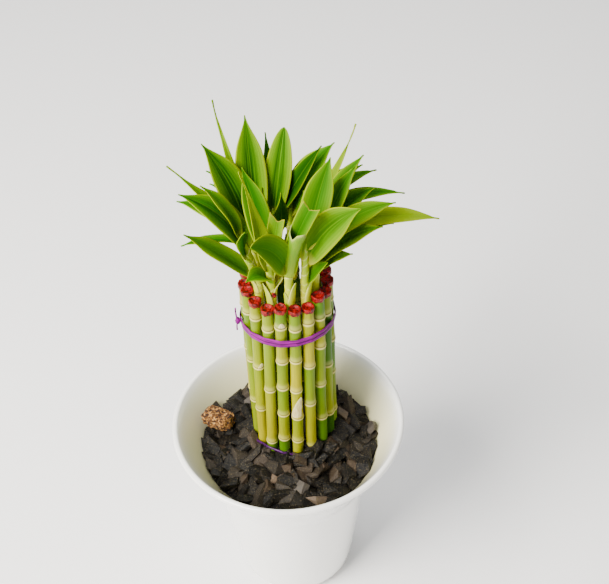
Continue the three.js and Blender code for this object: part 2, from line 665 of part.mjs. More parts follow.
// The gravel and the lump of bark on it
const LUMP = {
  centre: new THREE.Vector3(-58.5, 19, 169.5),
  size: [14, 11, 8.6],
  seed: 41,
  rough: 0.13,
};

function gravelRoom() {
  const wall = GRAVEL_WALL.map((z) => new THREE.Vector2(innerRadius(z, GAP), z));
  const floor = POT_FLOOR + GAP;
  const [corner, straight] = POT_FLOOR_CORNER;
  const foot = [
    new THREE.Vector2(0, floor),
    new THREE.Vector2(innerRadius(corner) - POT_FLOOR_FILLET - GAP, floor),
    new THREE.Vector2(innerRadius(corner, GAP) - SLIVER, corner + GAP),
    new THREE.Vector2(innerRadius(straight, GAP), straight),
  ];
  return { foot, wall, roof: new THREE.Vector2(0, GRAVEL_WALL.at(-1)) };
}

function slateChip(random, centre) {
  const { length, width, height } = CHIP_HALF;
  const half = [length, width, height].map((range) => between(random, ...range));
  const corners = [];
  for (const z of [-1, 1])
    for (const [x, y] of [[-1, -1], [1, -1], [1, 1], [-1, 1]]) {
      const long = x * half[0] * between(random, ...CHIP_TRIM.length);
      const wide = y * half[1] * between(random, ...CHIP_TRIM.width);
      corners.push(new THREE.Vector3(long, wide, z * half[2]));
    }
  const { side, end } = CHIP_LEAN;
  const turns = [between(random, -side, side), between(random, -end, end), between(random, 0, 2 * Math.PI)];
  const lean = new THREE.Euler(...turns);
  for (const corner of corners) corner.applyEuler(lean).add(centre);
  const faces = [[0, 3, 2, 1], [4, 5, 6, 7], [0, 1, 5, 4], [1, 2, 6, 5], [2, 3, 7, 6], [3, 0, 4, 7]];
  return solidOf(bodyOf(corners, faces.flatMap(([a, b, c, d]) => [[a, b, c], [a, c, d]])));
}

function slateGravel() {
  const room = gravelRoom();
  const bedWall = room.wall.filter((point) => point.y < GRAVEL_BED_TOP);
  const bedEdge = new THREE.Vector2(innerRadius(GRAVEL_BED_TOP, GAP), GRAVEL_BED_TOP);
  const bed = [...room.foot, ...bedWall, bedEdge, new THREE.Vector2(0, GRAVEL_BED_TOP)];
  const whole = solidOf(turned([...room.foot, ...room.wall, room.roof], POT_SIDES));
  const random = seeded(CHIP_SEED);
  const goldenAngle = Math.PI * (3 - Math.sqrt(5));
  let solid = solidOf(turned(bed, POT_SIDES));
  const middle = (TRENCH.inner + TRENCH.outer) / 2;
  for (let i = 0; i < CHIP_COUNT; i++) {
    const radius = CHIP_REACH * Math.sqrt((i + 0.5) / CHIP_COUNT);
    const turn = i * goldenAngle;
    const centre = new THREE.Vector3(radius * Math.cos(turn), radius * Math.sin(turn), CHIP_CENTRE);
    const fromBundle = Math.hypot(centre.x - BUNDLE.x, centre.y - BUNDLE.y);
    centre.z += CHIP_HEAP.rise * Math.exp(-(((fromBundle - middle) / CHIP_HEAP.width) ** 2));
    centre.z += between(random, -CHIP_ABOVE, CHIP_ABOVE);
    const chip = slateChip(random, centre);
    if (Math.abs(fromBundle - middle) > TRENCH.clear) solid = solid.add(chip);
  }
  const trenchFloor = CANE_BOTTOM - GAP;
  const trench = turned(
    [
      new THREE.Vector2(TRENCH.inner, trenchFloor),
      new THREE.Vector2(TRENCH.outer, trenchFloor),
      new THREE.Vector2(TRENCH.outer, TRENCH.top),
      new THREE.Vector2(TRENCH.inner, TRENCH.top),
      new THREE.Vector2(TRENCH.inner, trenchFloor),
    ],
    TRENCH.sides,
  ).translate(BUNDLE.x, BUNDLE.y, 0);
  const tieRoom = band(LOW_TIE.z, 0, LOW_TIE.width + 2 * GAP, LOW_TIE.thickness + 2 * GAP, TIE_SIDES);
  const lumpRoom = ball(LUMP.centre, LUMP.size.map((side) => side + GAP), LUMP.seed, LUMP.rough);
  return largestOf(solid.intersect(whole).subtract(solidOf(trench)).subtract(tieRoom).subtract(lumpRoom));
}

// The whole plant
const plant = new THREE.Group();
const number = (index) => String(index + 1).padStart(2, "0");
const leaves = growLeaves();
plant.add(meshOf("pot", pot(), whiteGlaze));
plant.add(meshOf("slate_gravel", slateGravel(), slate));
plant.add(meshOf("bark_lump", ball(LUMP.centre, LUMP.size, LUMP.seed, LUMP.rough), bark));
CANES.forEach((cane, i) => {
  plant.add(meshOf(`cane_${number(i)}`, caneBody(cane), caneSkin));
  plant.add(meshOf(`wax_seal_${number(i)}`, waxSeal(cane, i), redWax));
});
for (const shoot of SHOOTS) plant.add(meshOf(`shoot_${shoot.name}`, leafyShoot(shoot, leaves), leafSkin));
plant.add(meshOf("ribbon", ribbon(), magentaRibbon));
plant.add(meshOf("low_tie", band(LOW_TIE.z, GAP, LOW_TIE.width, LOW_TIE.thickness, TIE_SIDES), purpleTie));

export default plant;
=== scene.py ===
import math

import bpy
import numpy as np
from mathutils import Matrix, Vector, noise


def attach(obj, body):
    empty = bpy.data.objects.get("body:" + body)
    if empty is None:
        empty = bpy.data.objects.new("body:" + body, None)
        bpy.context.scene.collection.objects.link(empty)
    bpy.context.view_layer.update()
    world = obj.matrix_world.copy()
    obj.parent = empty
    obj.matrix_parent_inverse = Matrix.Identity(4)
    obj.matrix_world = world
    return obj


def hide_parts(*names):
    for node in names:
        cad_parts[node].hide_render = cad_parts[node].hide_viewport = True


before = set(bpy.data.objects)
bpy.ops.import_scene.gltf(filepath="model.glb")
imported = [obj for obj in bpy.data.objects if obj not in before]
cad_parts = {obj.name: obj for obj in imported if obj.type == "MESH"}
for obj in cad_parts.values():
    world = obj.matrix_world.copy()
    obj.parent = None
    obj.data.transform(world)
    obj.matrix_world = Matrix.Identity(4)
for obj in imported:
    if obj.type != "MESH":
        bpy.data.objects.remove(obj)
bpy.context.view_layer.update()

MM = 0.001

# Sizes shared with the solids
GAP = 0.3
POT_HEIGHT = 185
POT_WALL = 5
POT_FLOOR = 7
POT_FOOT_RADIUS = 49.4
POT_SHOULDER_Z = 122.4
POT_SHOULDER_RADIUS = 64.6
POT_RIM_RADIUS = 97.6
POT_FLARE = 1.29
POT_CORNER = 13.2

BUNDLE = np.array([5.5, 13.0, 0.0])
RING_RADIUS = 31.4
CANE_BOTTOM = 80
CANE_RADIUS = 4.5
RING_SCAR_RADIUS = 5
CANE_SIDES = 8
WAX_OVERHANG = 0.7

SHOOT_RADIUS = 3.6
SHOOT_SIDES = 6
SHOOT_HEEL = 3
SHOOT_TIP_RADIUS = 2.3
SHOOT_TAPER_FROM = 335
SHOOT_STEP_WIDTH = 0.9
SHOOT_STEP_OVER = 10
SHOOT_UPRIGHT_OVER_CUT = 5
SHOOT_BEND = 1.6

BLADE_FOOT = 1.4
BLADE_TIP = 0.5
BLADE_FOLD_FLAT = 12
BLADE_FOLD_FOOT = 26
BLADE_ROOT_DEPTH = 1.2
TORN_EDGE = [3.2, -2.2, 5]

# The rows along a blade, and the points across it, at which it is kept clear of the others
FIRST_SAMPLE = 3
LAST_SAMPLE = 32
SAMPLES_ACROSS = 9

# The steps along a stem, and how far past its top, at which leaves are kept clear of it
STEM_SAMPLE_STEP = 3
STEM_PAST_TOP = 4.001

# The canes, from the left round by the front: (angle at the cut, angle at the foot, height of
# the cut, ring scars from the top down)
CANES = [
    (-87, -103.5, 331, [311, 262, 213, 160]),
    (-68.5, -84, 333, [312, 258, 209, 150]),
    (-49.5, -64, 330, [314, 259, 208, 158]),
    (-29, -44, 328, [308, 239, 175, 120]),
    (-10, -22.5, 331, [313, 275, 245, 214, 184, 140]),
    (9, -1, 328.5, [310, 276, 242, 210, 182, 138]),
    (28, 20.5, 327, [313, 266, 223, 171, 125]),
    (47, 42, 332, [311, 281, 238, 198, 150]),
    (66, 63.5, 328, [307, 250, 193, 140]),
    (85, 84, 330, [312, 268, 231, 186, 130]),
    (104, 104, 331, [309, 256, 204, 150]),
    (125, 123, 329, [313, 272, 222, 176, 120]),
    (146, 142, 332, [310, 247, 190, 133]),
    (167, 161, 330, [312, 280, 239, 188, 142]),
    (188, 180, 328, [308, 259, 217, 168, 118]),
    (209, 199, 331, [313, 266, 205, 151]),
    (230, 218, 329, [309, 276, 236, 184, 136]),
    (251, 237, 332, [311, 253, 198, 145]),
]

# The ribbon: its height at the front, how much lower it lies at the sides and the back, and half
# a strand's width
RIBBON_HEIGHT = 297.8
RIBBON_SAG = 3.4
RIBBON_HALF_WIDTH = 1.78

# The ribbon's knot: its place round the canes, how far it stands out, and half its size
KNOT_ANGLE = -84
KNOT_PROUD = 2.2
KNOT_REACH = (2.1, 2.8, 3.0)

# The low tie: its height, clearance from the canes and half its thickness, and how far it dips
# away from the hollow, over how many degrees
TIE_HEIGHT = 169.8
TIE_CLEARANCE = 1.0
TIE_RADIUS = 1.15
TIE_DIP = 6
TIE_DIP_SPREAD = 34

# The points of a loop round the canes
LOOP_STEPS = 120

# A cane's skin: how far its internodes stray, how much fuller and waisted they are, how its ring
# scars swell and are grooved, the rings that its tube is made of, and how far its end internodes
# would run on if they weren't cut off
CANE_SWAY = 0.4
CANE_FULLNESS = 0.08
CANE_WAIST = 0.2
SCAR_SWELL = 0.52
SCAR_GROOVE = 0.3
SCAR_STEPS = (-3.0, -1.6, -0.8, -0.3, 0.0, 0.3, 0.8, 1.6)
CANE_STEP = 2.0
CANE_UNDER_CUT = 1.5
CANE_SKIN_SIDES = 22
CUT_OFF_ABOVE = 20
CUT_OFF_BELOW = 30

# Bands round a ring scar, as (height over the scar, spread): its swell, which fades above it, its
# groove, its brown line, and the pale blooms, which have their strength first
SWELL_BAND = (-0.9, 3.2)
SWELL_FADE = 1.1
GROOVE_BAND = (0, 0.06)
LINE_BAND = (0.15, 0.1)
LINE_STRENGTH = 1.2
BLOOM_BANDS = [(1.1, -0.9, 0.7), (0.3, 2.4, 4)]

# How green an internode is drawn, how much greener the canes round the right and the back are
# drawn as painted shade, over which degrees round the ring that painted shade comes, how much
# greener an internode gets upwards, and how much a cane does towards the gravel, from which height
# and over what height
MOST_DRAWN_GREEN = 0.62
PAINTED_SHADE_GREEN = 0.35
PAINTED_SHADE_FROM = 30
PAINTED_SHADE_OVER = 40
UPWARD_GREEN = 0.2
FOOT_GREEN = 0.2
FOOT_GREEN_FROM = 190
FOOT_GREEN_OVER = 60

WAX_SIDES = 28

# A stem's sheaths: how far up the first collar and each next one come, how far a sheath stands
# proud at its collar and how far below that it fades, how slanting the collars are, how far down
# they are papery, the lip above each, and how far the stem lies inside its sheaths
FIRST_COLLAR = (12, 16)
NEXT_COLLAR = (6, 10)
SHEATH_PROUD = 0.42
SHEATH_FADE = 12
COLLAR_SLANT = 2.6
COLLAR_EDGE = 0.5
LIP_HEIGHT = 0.8
LIP_PROUD = 0.1
STEM_INSIDE = 0.3

# The top of a stem: how far under it the tube starts to close, over what height and by how much,
# how far the tube runs on over it, and the tube's steps and sides
CLOSING_FROM = 14
CLOSING_OVER = 20
CLOSING = 0.85
CLOSING_CURVE = 1.3
STEM_CAP = 6
STEM_STEP = 0.8
STEM_SIDES = 24

# How thick the sheets of flaps, the rolled leaf and husks are
SHEATH_THICKNESS = 0.35
HUSK_THICKNESS = 0.3

# Where the seeds of each kind of piece start
CANE_SEED = 900
WAX_SEED = 300
STEM_SEED = 500
BLADE_SEED = 700
ROLL_SEED = 77

# Phases are drawn from 0 to this
FULL_TURN = 6.28

# The shoots: (name, its cane, degrees round the cane, lean, top, leaves in all)
SHOOTS = [
    ("left", 0, -8, 10, 378, 2),
    ("left_front", 1, 25, 11, 374, 2),
    ("front_left", 3, 0, 2, 382, 4),
    ("front", 5, -10, 1, 378, 3),
    ("front_right", 6, 22, 4, 380, 3),
    ("right_front", 8, 0, 8, 378, 4),
    ("right", 10, 0, 11, 378, 5),
    ("right_back", 12, -25, 11, 382, 6),
    ("back_right", 13, -5, 8, 384, 6),
    ("back", 14, 15, 9, 380, 6),
    ("back_left", 16, -25, 9, 384, 6),
    ("left_back", 17, -25, 11, 380, 5),
]

# (rise, fall, end) of each kind of leaf's width along its length
LEAF_KINDS = {
    "lance": (0.62, 0.78, 1),
    "broad": (0.55, 0.62, 1),
    "tail": (0.7, 2.1, 1),
    "torn": (0.55, 0.6, 0.62),
}

# The leaves that the front view tells apart: (shoot, height on it, tip, width, kind, bow, turn
# to the front, depth of green, strength of the dark middle stripe). The depth of green is partly a
# leaf's own tone and partly painted shade: the deepest greens, on leaves at the back and in the
# middle, stand for the shade inside the crown
SEEN_LEAVES = [
    ("front_right", 366, (59, -24, 425), 25, "broad", 6, 0.9, 0.3, 0.6),
    ("left", 358, (-66, 16, 416), 24, "lance", 10, 0.5, 0.42, 1),
    ("left_back", 360, (-48, 48, 435), 27, "lance", 6, 0.4, 0.4, 1),
    ("back_left", 366, (-16, 68, 443), 24, "lance", 4, 0.3, 0.15, 1),
    ("back", 368, (12, 64, 433), 22, "broad", 7, 0.3, 0.22, 1),
    ("front_right", 378, (42, 18, 438), 22, "broad", 3, 0.8, 0.4, 0.5),
    ("front", 360, (-17, -38, 409), 24, "broad", 6, 0.9, 0.25, 0.1),
    ("front", 355, (19, -10, 412), 14, "torn", 2, 0.9, 0.2, 0.3),
    ("front", 375, (37, -25, 451), 14, "torn", 2, 0.9, 0.3, 0.4),
    ("front_left", 352, (11, -8, 440), 14, "torn", 3, 0.7, 0.15, 0.3),
    ("right", 366, (120, 14, 379), 16, "lance", 9, 0.4, 0.0, 0.1),
    ("left_front", 346, (-64, -3, 397), 16, "lance", 2, 0.5, 0.18, 0.5),
    ("front_left", 372, (-20, 20, 433), 19, "lance", 4, 0.8, 0.6, 0.5),
    ("front_left", 360, (-21, -16, 457), 13, "tail", 2, 0.8, 0.05, 0.2),
    ("right_front", 352, (76, -8, 394), 19, "lance", 7, 0.5, 0.2, 0.6),
    ("right_front", 370, (87, 8, 402), 18, "lance", 8, 0.5, 0.28, 0.5),
    ("left_back", 369, (-73, 42, 424), 15, "tail", 6, 0.3, 0.1, 0.2),
    ("back", 365, (37, 40, 432), 15, "lance", 2, 0.6, 0.95, 0.5),
    ("back_right", 370, (47, 50, 427), 24, "lance", 6, 0.4, 0.55, 0.5),
    ("right_front", 372, (61, 22, 428), 15, "lance", 6, 0.6, 0.35, 0.5),
    ("right", 372, (67, 38, 423), 15, "lance", 7, 0.5, 0.35, 0.4),
    ("front_left", 346, (-23, -22, 363), 17, "broad", 6, 0.3, 0.25, 0.4),
    ("front_right", 341, (36, -14, 369), 13, "broad", 2, 0.5, 0.25, 0.3),
    ("back", 352, (-8, 78, 406), 14, "lance", 4, 0.4, 0.95, 0.5),
    ("back_left", 366, (-39, 90, 443), 9, "tail", 8, 0.3, 0.05, 0.2),
    ("back", 360, (-2, 76, 421), 9, "lance", 6, 0.3, 0.9, 0.4),
    ("right_back", 376, (63, 54, 439), 10, "tail", 6, 0.3, 0.1, 0.2),
    ("right_back", 368, (78, 52, 398), 13, "lance", 10, 0.3, 0.4, 0.4),
    ("left", 374, (-50, 18, 421), 12, "lance", 6, 0.4, 0.3, 0.4),
    ("left_front", 368, (-21, -6, 396), 12, "lance", 4, 0.5, 0.5, 0.6),
    ("right_front", 342, (54, -12, 374), 12, "broad", 4, 0.4, 0.2, 0.4),
    # These inner leaves are drawn deep green as painted shade of the crown's middle
    ("back", 350, (6, 8, 418), 16, "lance", -6, 0.5, 0.85, 0.5),
    ("back_right", 352, (22, 11, 416), 15, "lance", -6, 0.5, 0.85, 0.5),
    ("back_left", 354, (-7, 17, 416), 15, "lance", -6, 0.5, 0.85, 0.5),
    ("right", 353, (36, 19, 412), 13, "lance", -3, 0.5, 0.7, 0.5),
]

# What single leaves do, by their tip: (how far the middle hangs aside in mm, how drawn out the
# tip is)
HABITS = {
    (-39, 90, 443): (-5, 0.5),
    (-73, 42, 424): (-5, 0.5),
    (63, 54, 439): (9, 0.5),
    (-48, 48, 435): (2, 0.5),
    (12, 64, 433): (3, 0.0),
    (-17, -38, 409): (0, 0.2),
}

# The rolled young leaf: where on its stem it starts and how far aside, the heading of its seam, how
# far round it reaches on each side, how wide it is at its foot, how it leans and bends, and how
# ragged its upper edge is, as a share of its height
ROLL_FROM = 357
ROLL_ASIDE = np.array([0.6, -0.6, 0])
ROLL_SEAM = 100
ROLL_HALF_ANGLE = 168
ROLL_RADIUS = 4.3
ROLL_LEAN = np.array([8.5, -6.0, 45.0])
ROLL_BEND = 1.3
ROLL_RAGGED = (-0.04, 0.03)

# A blade: its thickness and veins, its width at its foot and tip, the share of its length from
# which a drawn-out tip narrows, and the step that spreads the leaves' own chances
BLADE_THICKNESS = 0.5
VEIN_DEPTH = 0.05
VEINS_A_SIDE = 5.5
FINE_FOOT = 2.2
FINE_TIP = 0.12
DRAWN_OUT_FROM = 0.6
GOLDEN_STEP = 0.618

# How a blade folds further over the first share of its length, how far its middle is rounded, and
# the height and rate at which its sides ripple, which fades towards its ends
FOOT_SHARE = 0.14
FOOT_FOLD = 16
SOFT_MIDDLE = 0.5
RIPPLE_HEIGHT = (0.25, 0.6)
RIPPLE_RATE = (9, 15)
RIPPLE_FROM_END = 4

# How ragged a tear is, over which last rows a blade is drawn to it, and which of those are brown
TEAR_JAG = 0.35
TEAR_FROM = 0.8
TEAR_OVER = 0.2
TEAR_BROWN_FROM = 0.9
TEAR_BROWN_OVER = 0.1

# The dab of wax on a stem: its height, how far from the stem's middle it is, and half its size
DAB_HEIGHT = 337
DAB_ASIDE = np.array([1.5, -3.9, 0])
DAB_REACH = (1.8, 1.1, 2.5)

# What the other leaves are drawn from
FREE_SWING = 80
FREE_LIFT = (10, 58)
FREE_LENGTH = (50, 82)
FREE_WIDTH = (12, 19)
FREE_ARCH = (0.1, 0.2)
FREE_TWIST = 0.35
FREE_FROM = 354
FREE_LIFT_SPREAD = 14
FREE_LANCE_SHARE = 0.7
FREE_GREEN = 0.5
LEAF_SEED = 20
DRAWS_PER_LEAF = 60
LEAF_CLEARANCE = 2.3
OWN_CLEARANCE = 2
OWN_ROOM = 0.2
STEM_CLEARANCE = 1.6
LOWEST_LEAF = 338
WIDEST_CROWN = 104
FREE_TIP_REACH = 468
TURNS = [0, 3, -3, 6, -6, 10, -10, 15, -15, 22, -22]
TILTS = [0, 3, -3, 7, -7, 12, -12]

# Broken slate: how many shapes it has, the block that each is broken from and how far its corners
# are knocked, as shares of a chip's size, how far chips lean, the seed that scatters them, how
# closely they lie, and the size of the smallest and the largest
CHIP_SHAPES = 9
CHIP_BLOCK = 1.7
CHIP_KNOCK = 0.5
CHIP_LEAN = 0.75
CHIP_SEED = 5
CHIP_SPACING = 7.1
SMALLEST_CHIP = (5.2, 3.4, 2.5)
LARGEST_CHIP = (11.6, 7.4, 4.8)
# How far chips' middles and the chips themselves keep from the pot's wall, and how far chips'
# middles keep from the ring on which the canes stand
CHIP_EDGE = 3.5
CHIP_TO_WALL = 0.6
CHIPS_TO_RING = 6.2

# The gravel's surface: its height at the wall, its heap round the canes, the hollow in that, its
# swell, and the rings and sides of its mesh
GRAVEL_EDGE = 155
HEAP_RISE = 14
HEAP_WIDTH = 15
HOLLOW_ANGLE = -33
HOLLOW_SPREAD = 24
HOLLOW_DROP = 6.5
SWELL_HEIGHT = 1.5
SWELL_WIDTH = 14
GRAVEL_RINGS = 40
GRAVEL_SIDES = 120

# The bed under the chips: how far it lies under the gravel's surface and keeps from the wall, and
# the height of its flat bottom
BED_UNDER = 2.5
BED_TO_WALL = 0.8
BED_BOTTOM = 120

# The lump of bark: its middle, half its size, how it is turned and how round it is
LUMP_CENTRE = (-58.5, 19, 169.5)
LUMP_REACH = (13.4, 9.2, 7.6)
LUMP_TURN = -32
LUMP_SQUARENESS = 0.7

UP = np.array([0.0, 0.0, 1.0])
FRONT = np.array([0.0, -0.72, 0.69])


# Numbers and directions
def seeded(seed):
    """A repeatable source of numbers from 0 to 1."""
    word_mask = 0xFFFFFFFF
    state = seed & word_mask

    def draw():
        nonlocal state
        state = (state + 0x6D2B79F5) & word_mask
        word = ((state ^ (state >> 15)) * (state | 1)) & word_mask
        word ^= (word + (((word ^ (word >> 7)) * (word | 61)) & word_mask)) & word_mask
        return (word ^ (word >> 14)) / 4294967296

    return draw


def between(draw, low, high):
    """A drawn number between two others."""
    return low + (high - low) * draw()


def lerp(low, high, share):
    """The number or point this share of the way from low to high."""
    return low + (high - low) * share


def clamp(value):
    """A value kept from 0 to 1."""
    return min(max(value, 0), 1)


def bell(value, middle=0, spread=1):
    """1 where a value is at the middle, falling off smoothly to both sides."""
    return math.exp(-((value - middle) ** 2) / spread)


def level_way(turn):
    """The level direction at this many radians from the right, counter-clockwise from above."""
    return np.array([math.cos(turn), math.sin(turn), 0])


def unit(vector):
    """A vector's direction."""
    return vector / np.linalg.norm(vector)


def about(vector, axis, degrees):
    """vector turned about a unit axis."""
    angle = math.radians(degrees)
    along = axis * (axis @ vector)
    across = np.cross(axis, vector)
    return along + (vector - along) * math.cos(angle) + across * math.sin(angle)


# Where the canes and shoots stand
def ring_point(angle, radius, z):
    """A point round the bundle, its angle from the front over the right."""
    turn = math.radians(angle)
    return BUNDLE + np.array([radius * math.sin(turn), -radius * math.cos(turn), z])


def cane_axis(cane, z):
    """The middle of a cane at one height."""
    top, foot, cut, _ = cane
    share = (z - CANE_BOTTOM) / (cut - CANE_BOTTOM)
    return lerp(ring_point(foot, RING_RADIUS, CANE_BOTTOM), ring_point(top, RING_RADIUS, cut), share)


def level(vector):
    """A vector's level direction."""
    return unit(vector * np.array([1, 1, 0]))


def seat_way(cane):
    """The level direction from a cane's shoot to the cane, for the seat between them."""
    rounds = [shoot[2] for shoot in SHOOTS if CANES[shoot[1]] is cane]
    return about(level(cane_axis(cane, cane[2]) - BUNDLE), UP, -(rounds[0] if rounds else 0))


def inradius(radius, sides):
    """From a prism's axis to the flat of a side."""
    return radius * math.cos(math.pi / sides)


def shoot_axis(shoot, z):
    """The middle of a shoot's stem at one height: upright along its cane, then leaning out."""
    _, number, _, lean, top, _ = shoot
    cane = CANES[number]
    cut, scar = cane[2], cane[3][0]
    seat = inradius(RING_SCAR_RADIUS, CANE_SIDES) + GAP + inradius(SHOOT_RADIUS, SHOOT_SIDES)
    aside = SHOOT_STEP_WIDTH * clamp((z - scar) / SHOOT_STEP_OVER)
    clear = cut + SHOOT_UPRIGHT_OVER_CUT
    bend = lean * ((z - clear) / (top - clear)) ** SHOOT_BEND if z > clear else 0
    foot = cane_axis(cane, min(z, cut))
    out = level(foot - BUNDLE)
    return np.array([foot[0], foot[1], z]) - seat_way(cane) * (seat + aside) + out * bend


def shoot_radius(shoot, z):
    """Half a stem's thickness, which tapers towards its top."""
    share = (z - SHOOT_TAPER_FROM) / (shoot[4] - SHOOT_TAPER_FROM)
    return lerp(SHOOT_RADIUS, SHOOT_TIP_RADIUS, clamp(share))


# Leaves
class Leaf:
    """One blade on a curve from its shoot to its tip, with its width, bow and turn."""

    def __init__(self, shoot, start, tip, width, kind, arch, front, twist=0.0):
        base = shoot_axis(shoot, start)
        away = level(tip - base)
        self.base = base + away * (shoot_radius(shoot, start) - BLADE_ROOT_DEPTH)
        self.across = unit(np.cross(tip - self.base, UP))
        self.shoot = shoot[0]
        self.tip = tip
        self.width = width
        self.kind = kind
        self.arch = arch
        self.front = front
        self.twist = twist
        self.green = FREE_GREEN
        self.stripe = 0.5
        self.sway = 0
        self.drawn_out = 0.5

    def frame(self, t):
        """Points, directions along and across, and normals, for an array of shares t."""
        t = np.asarray(t, float)[:, None]
        chord = self.tip - self.base
        run = math.hypot(chord[0], chord[1])
        normal = unit(np.array([-chord[0] / run * chord[2], -chord[1] / run * chord[2], run]))
        knee = self.base + chord * 0.5 + normal * 2 * self.arch
        point = (1 - t) ** 2 * self.base + 2 * (1 - t) * t * knee + t**2 * self.tip
        tangent = (knee - self.base) * (1 - t) + (self.tip - knee) * t
        tangent /= np.linalg.norm(tangent, axis=1, keepdims=True)
        face = unit(lerp(normal, FRONT, self.front) + self.across * self.twist)
        side = np.cross(tangent, face)
        side /= np.linalg.norm(side, axis=1, keepdims=True)
        return point, tangent, side, np.cross(side, tangent)

    def half_width(self, t, foot=BLADE_FOOT, tip=BLADE_TIP):
        """Half the blade's width at each share of its length."""
        rise, fall, _ = LEAF_KINDS[self.kind]
        widest = rise / (rise + fall)
        most = widest**rise * (1 - widest) ** fall
        blade = t**rise * np.maximum(1 - t, 0) ** fall / most
        return np.maximum(tip, self.width / 2 * blade + foot * (1 - t) ** 8)

    def points(self, t, across):
        """Points of the blade, folded along its middle."""
        point, _, side, normal = self.frame(t)
        reach = across * self.half_width(t)
        fold = np.radians(BLADE_FOLD_FLAT + BLADE_FOLD_FOOT * (1 - t) ** 2)
        sideways = side * (reach * np.cos(fold))[:, None]
        return point + sideways + normal * (np.abs(reach) * np.sin(fold))[:, None]

    def samples(self):
        """The points at which the blade is kept clear, and their shares of its length."""
        rows = np.arange(FIRST_SAMPLE, LAST_SAMPLE + 1) / LAST_SAMPLE * LEAF_KINDS[self.kind][2]
        across = np.linspace(-1, 1, SAMPLES_ACROSS)
        t = np.repeat(rows, len(across))
        return self.points(t, np.tile(across, len(rows))), t


class Room:
    """The points that are taken, against which each new leaf is tried."""

    def __init__(self):
        self.point = np.zeros((0, 3))
        self.t = np.zeros(0)
        self.reach = np.zeros(0)
        self.owner = np.zeros(0, int)

    def take(self, points, t, reach, owner):
        """Marks points as taken, each with the reach that others keep from it."""
        count = len(points)
        self.point = np.vstack([self.point, points])
        self.t = np.append(self.t, np.broadcast_to(t, count))
        self.reach = np.append(self.reach, np.broadcast_to(reach, count))
        self.owner = np.append(self.owner, np.full(count, owner))

    def is_clear(self, points, t, owner):
        """Whether a blade's points keep clear of all that is taken."""
        if points[:, 2].min() < LOWEST_LEAF:
            return False
        margin = SHOOT_RADIUS + STEM_CLEARANCE
        near = np.all((self.point > points.min(0) - margin) & (self.point < points.max(0) + margin), axis=1)
        if not near.any():
            return True
        taken_t = self.t[near][None, :]
        own = (self.owner[near] == owner)[None, :]
        apart = ((points[:, None, :] - self.point[near][None, :, :]) ** 2).sum(2)
        needed = np.where(own, OWN_CLEARANCE, self.reach[near][None, :])
        excused = own & ((t[:, None] < OWN_ROOM) | (taken_t < OWN_ROOM))
        return bool(np.all(excused | (apart >= needed**2)))


def seen_leaf(row, shoot, room, owner):
    """A leaf that the front view tells apart, turned the least that clears the others."""
    _, start, tip, width, kind, arch, front, green, stripe = row
    base = shoot_axis(shoot, start)
    chord = np.array(tip, float) - base
    across = unit(np.cross(chord, UP))
    for tilt in TILTS:
        for turn in TURNS:
            end = about(about(chord, across, tilt), UP, turn) + base
            leaf = Leaf(shoot, start, end, width, kind, arch, front)
            points, t = leaf.samples()
            if room.is_clear(points, t, owner):
                leaf.green = green
                leaf.stripe = stripe
                leaf.sway, leaf.drawn_out = HABITS.get(row[2], (0, 0.5))
                return leaf, points, t
    return None


def free_leaf(shoot, slot_number, draw, room, owner):
    """A leaf drawn by the rule, tried until one is clear of the others."""
    out = shoot_axis(shoot, shoot[4]) - BUNDLE
    out_heading = math.atan2(out[1], out[0])
    for _ in range(DRAWS_PER_LEAF):
        share = (slot_number + draw()) / shoot[5]
        start = lerp(FREE_FROM, shoot[4], share)
        heading = out_heading + math.radians(FREE_SWING * (2 * draw() - 1))
        lift = math.radians(lerp(*FREE_LIFT, share) + FREE_LIFT_SPREAD * (draw() - 0.5))
        length = between(draw, *FREE_LENGTH)
        width = between(draw, *FREE_WIDTH)
        arch = length * between(draw, *FREE_ARCH)
        twist = FREE_TWIST * (2 * draw() - 1)
        kind = "lance" if draw() < FREE_LANCE_SHARE else "broad"
        rise = UP * length * math.sin(lift)
        tip = shoot_axis(shoot, start) + level_way(heading) * length * math.cos(lift) + rise
        reach = math.hypot(tip[0] - BUNDLE[0], tip[1] - BUNDLE[1])
        if reach > WIDEST_CROWN or tip[2] + tip[1] > FREE_TIP_REACH:
            continue
        leaf = Leaf(shoot, start, tip, width, kind, arch, 0, twist)
        points, t = leaf.samples()
        if room.is_clear(points, t, owner):
            return leaf, points, t
    return None


def grow_leaves():
    """The same leaves as the solids have, by the same rule and draws."""
    room = Room()
    names = [shoot[0] for shoot in SHOOTS]
    for owner, shoot in enumerate(SHOOTS):
        root = CANES[shoot[1]][3][0] - SHOOT_HEEL
        heights = np.arange(root, shoot[4] + STEM_PAST_TOP, STEM_SAMPLE_STEP)
        axis = np.array([shoot_axis(shoot, z) for z in heights])
        reach = np.array([shoot_radius(shoot, z) + STEM_CLEARANCE for z in heights])
        room.take(axis, 0, reach, owner)
    draw = seeded(LEAF_SEED)
    grown = []

    def keep(found, owner):
        if found:
            leaf, points, t = found
            grown.append(leaf)
            room.take(points, t, LEAF_CLEARANCE, owner)

    for row in SEEN_LEAVES:
        owner = names.index(row[0])
        keep(seen_leaf(row, SHOOTS[owner], room, owner), owner)
    for owner, shoot in enumerate(SHOOTS):
        seen = sum(row[0] == shoot[0] for row in SEEN_LEAVES)
        rest = shoot[5] - seen
        for place in range(rest):
            keep(free_leaf(shoot, place * shoot[5] / max(1, rest), draw, room, owner), owner)
    return grown


# Meshes
def mesh_object(name, points, faces, edges=(), smooth=True):
    """An object at the origin from points in millimetres."""
    mesh = bpy.data.meshes.new(name)
    mesh.from_pydata((np.asarray(points, float) * MM).tolist(), edges, faces)
    mesh.validate()
    made = bpy.data.objects.new(name, mesh)
    bpy.context.scene.collection.objects.link(made)
    mesh.polygons.foreach_set("use_smooth", [smooth] * len(mesh.polygons))
    return made


def give(piece, **numbers):
    """Stores one number a point under each name, for the piece's tree or material to read."""
    for name, values in numbers.items():
        attribute = piece.data.attributes.new(name, "FLOAT", "POINT")
        attribute.data.foreach_set("value", np.asarray(values, np.float32))


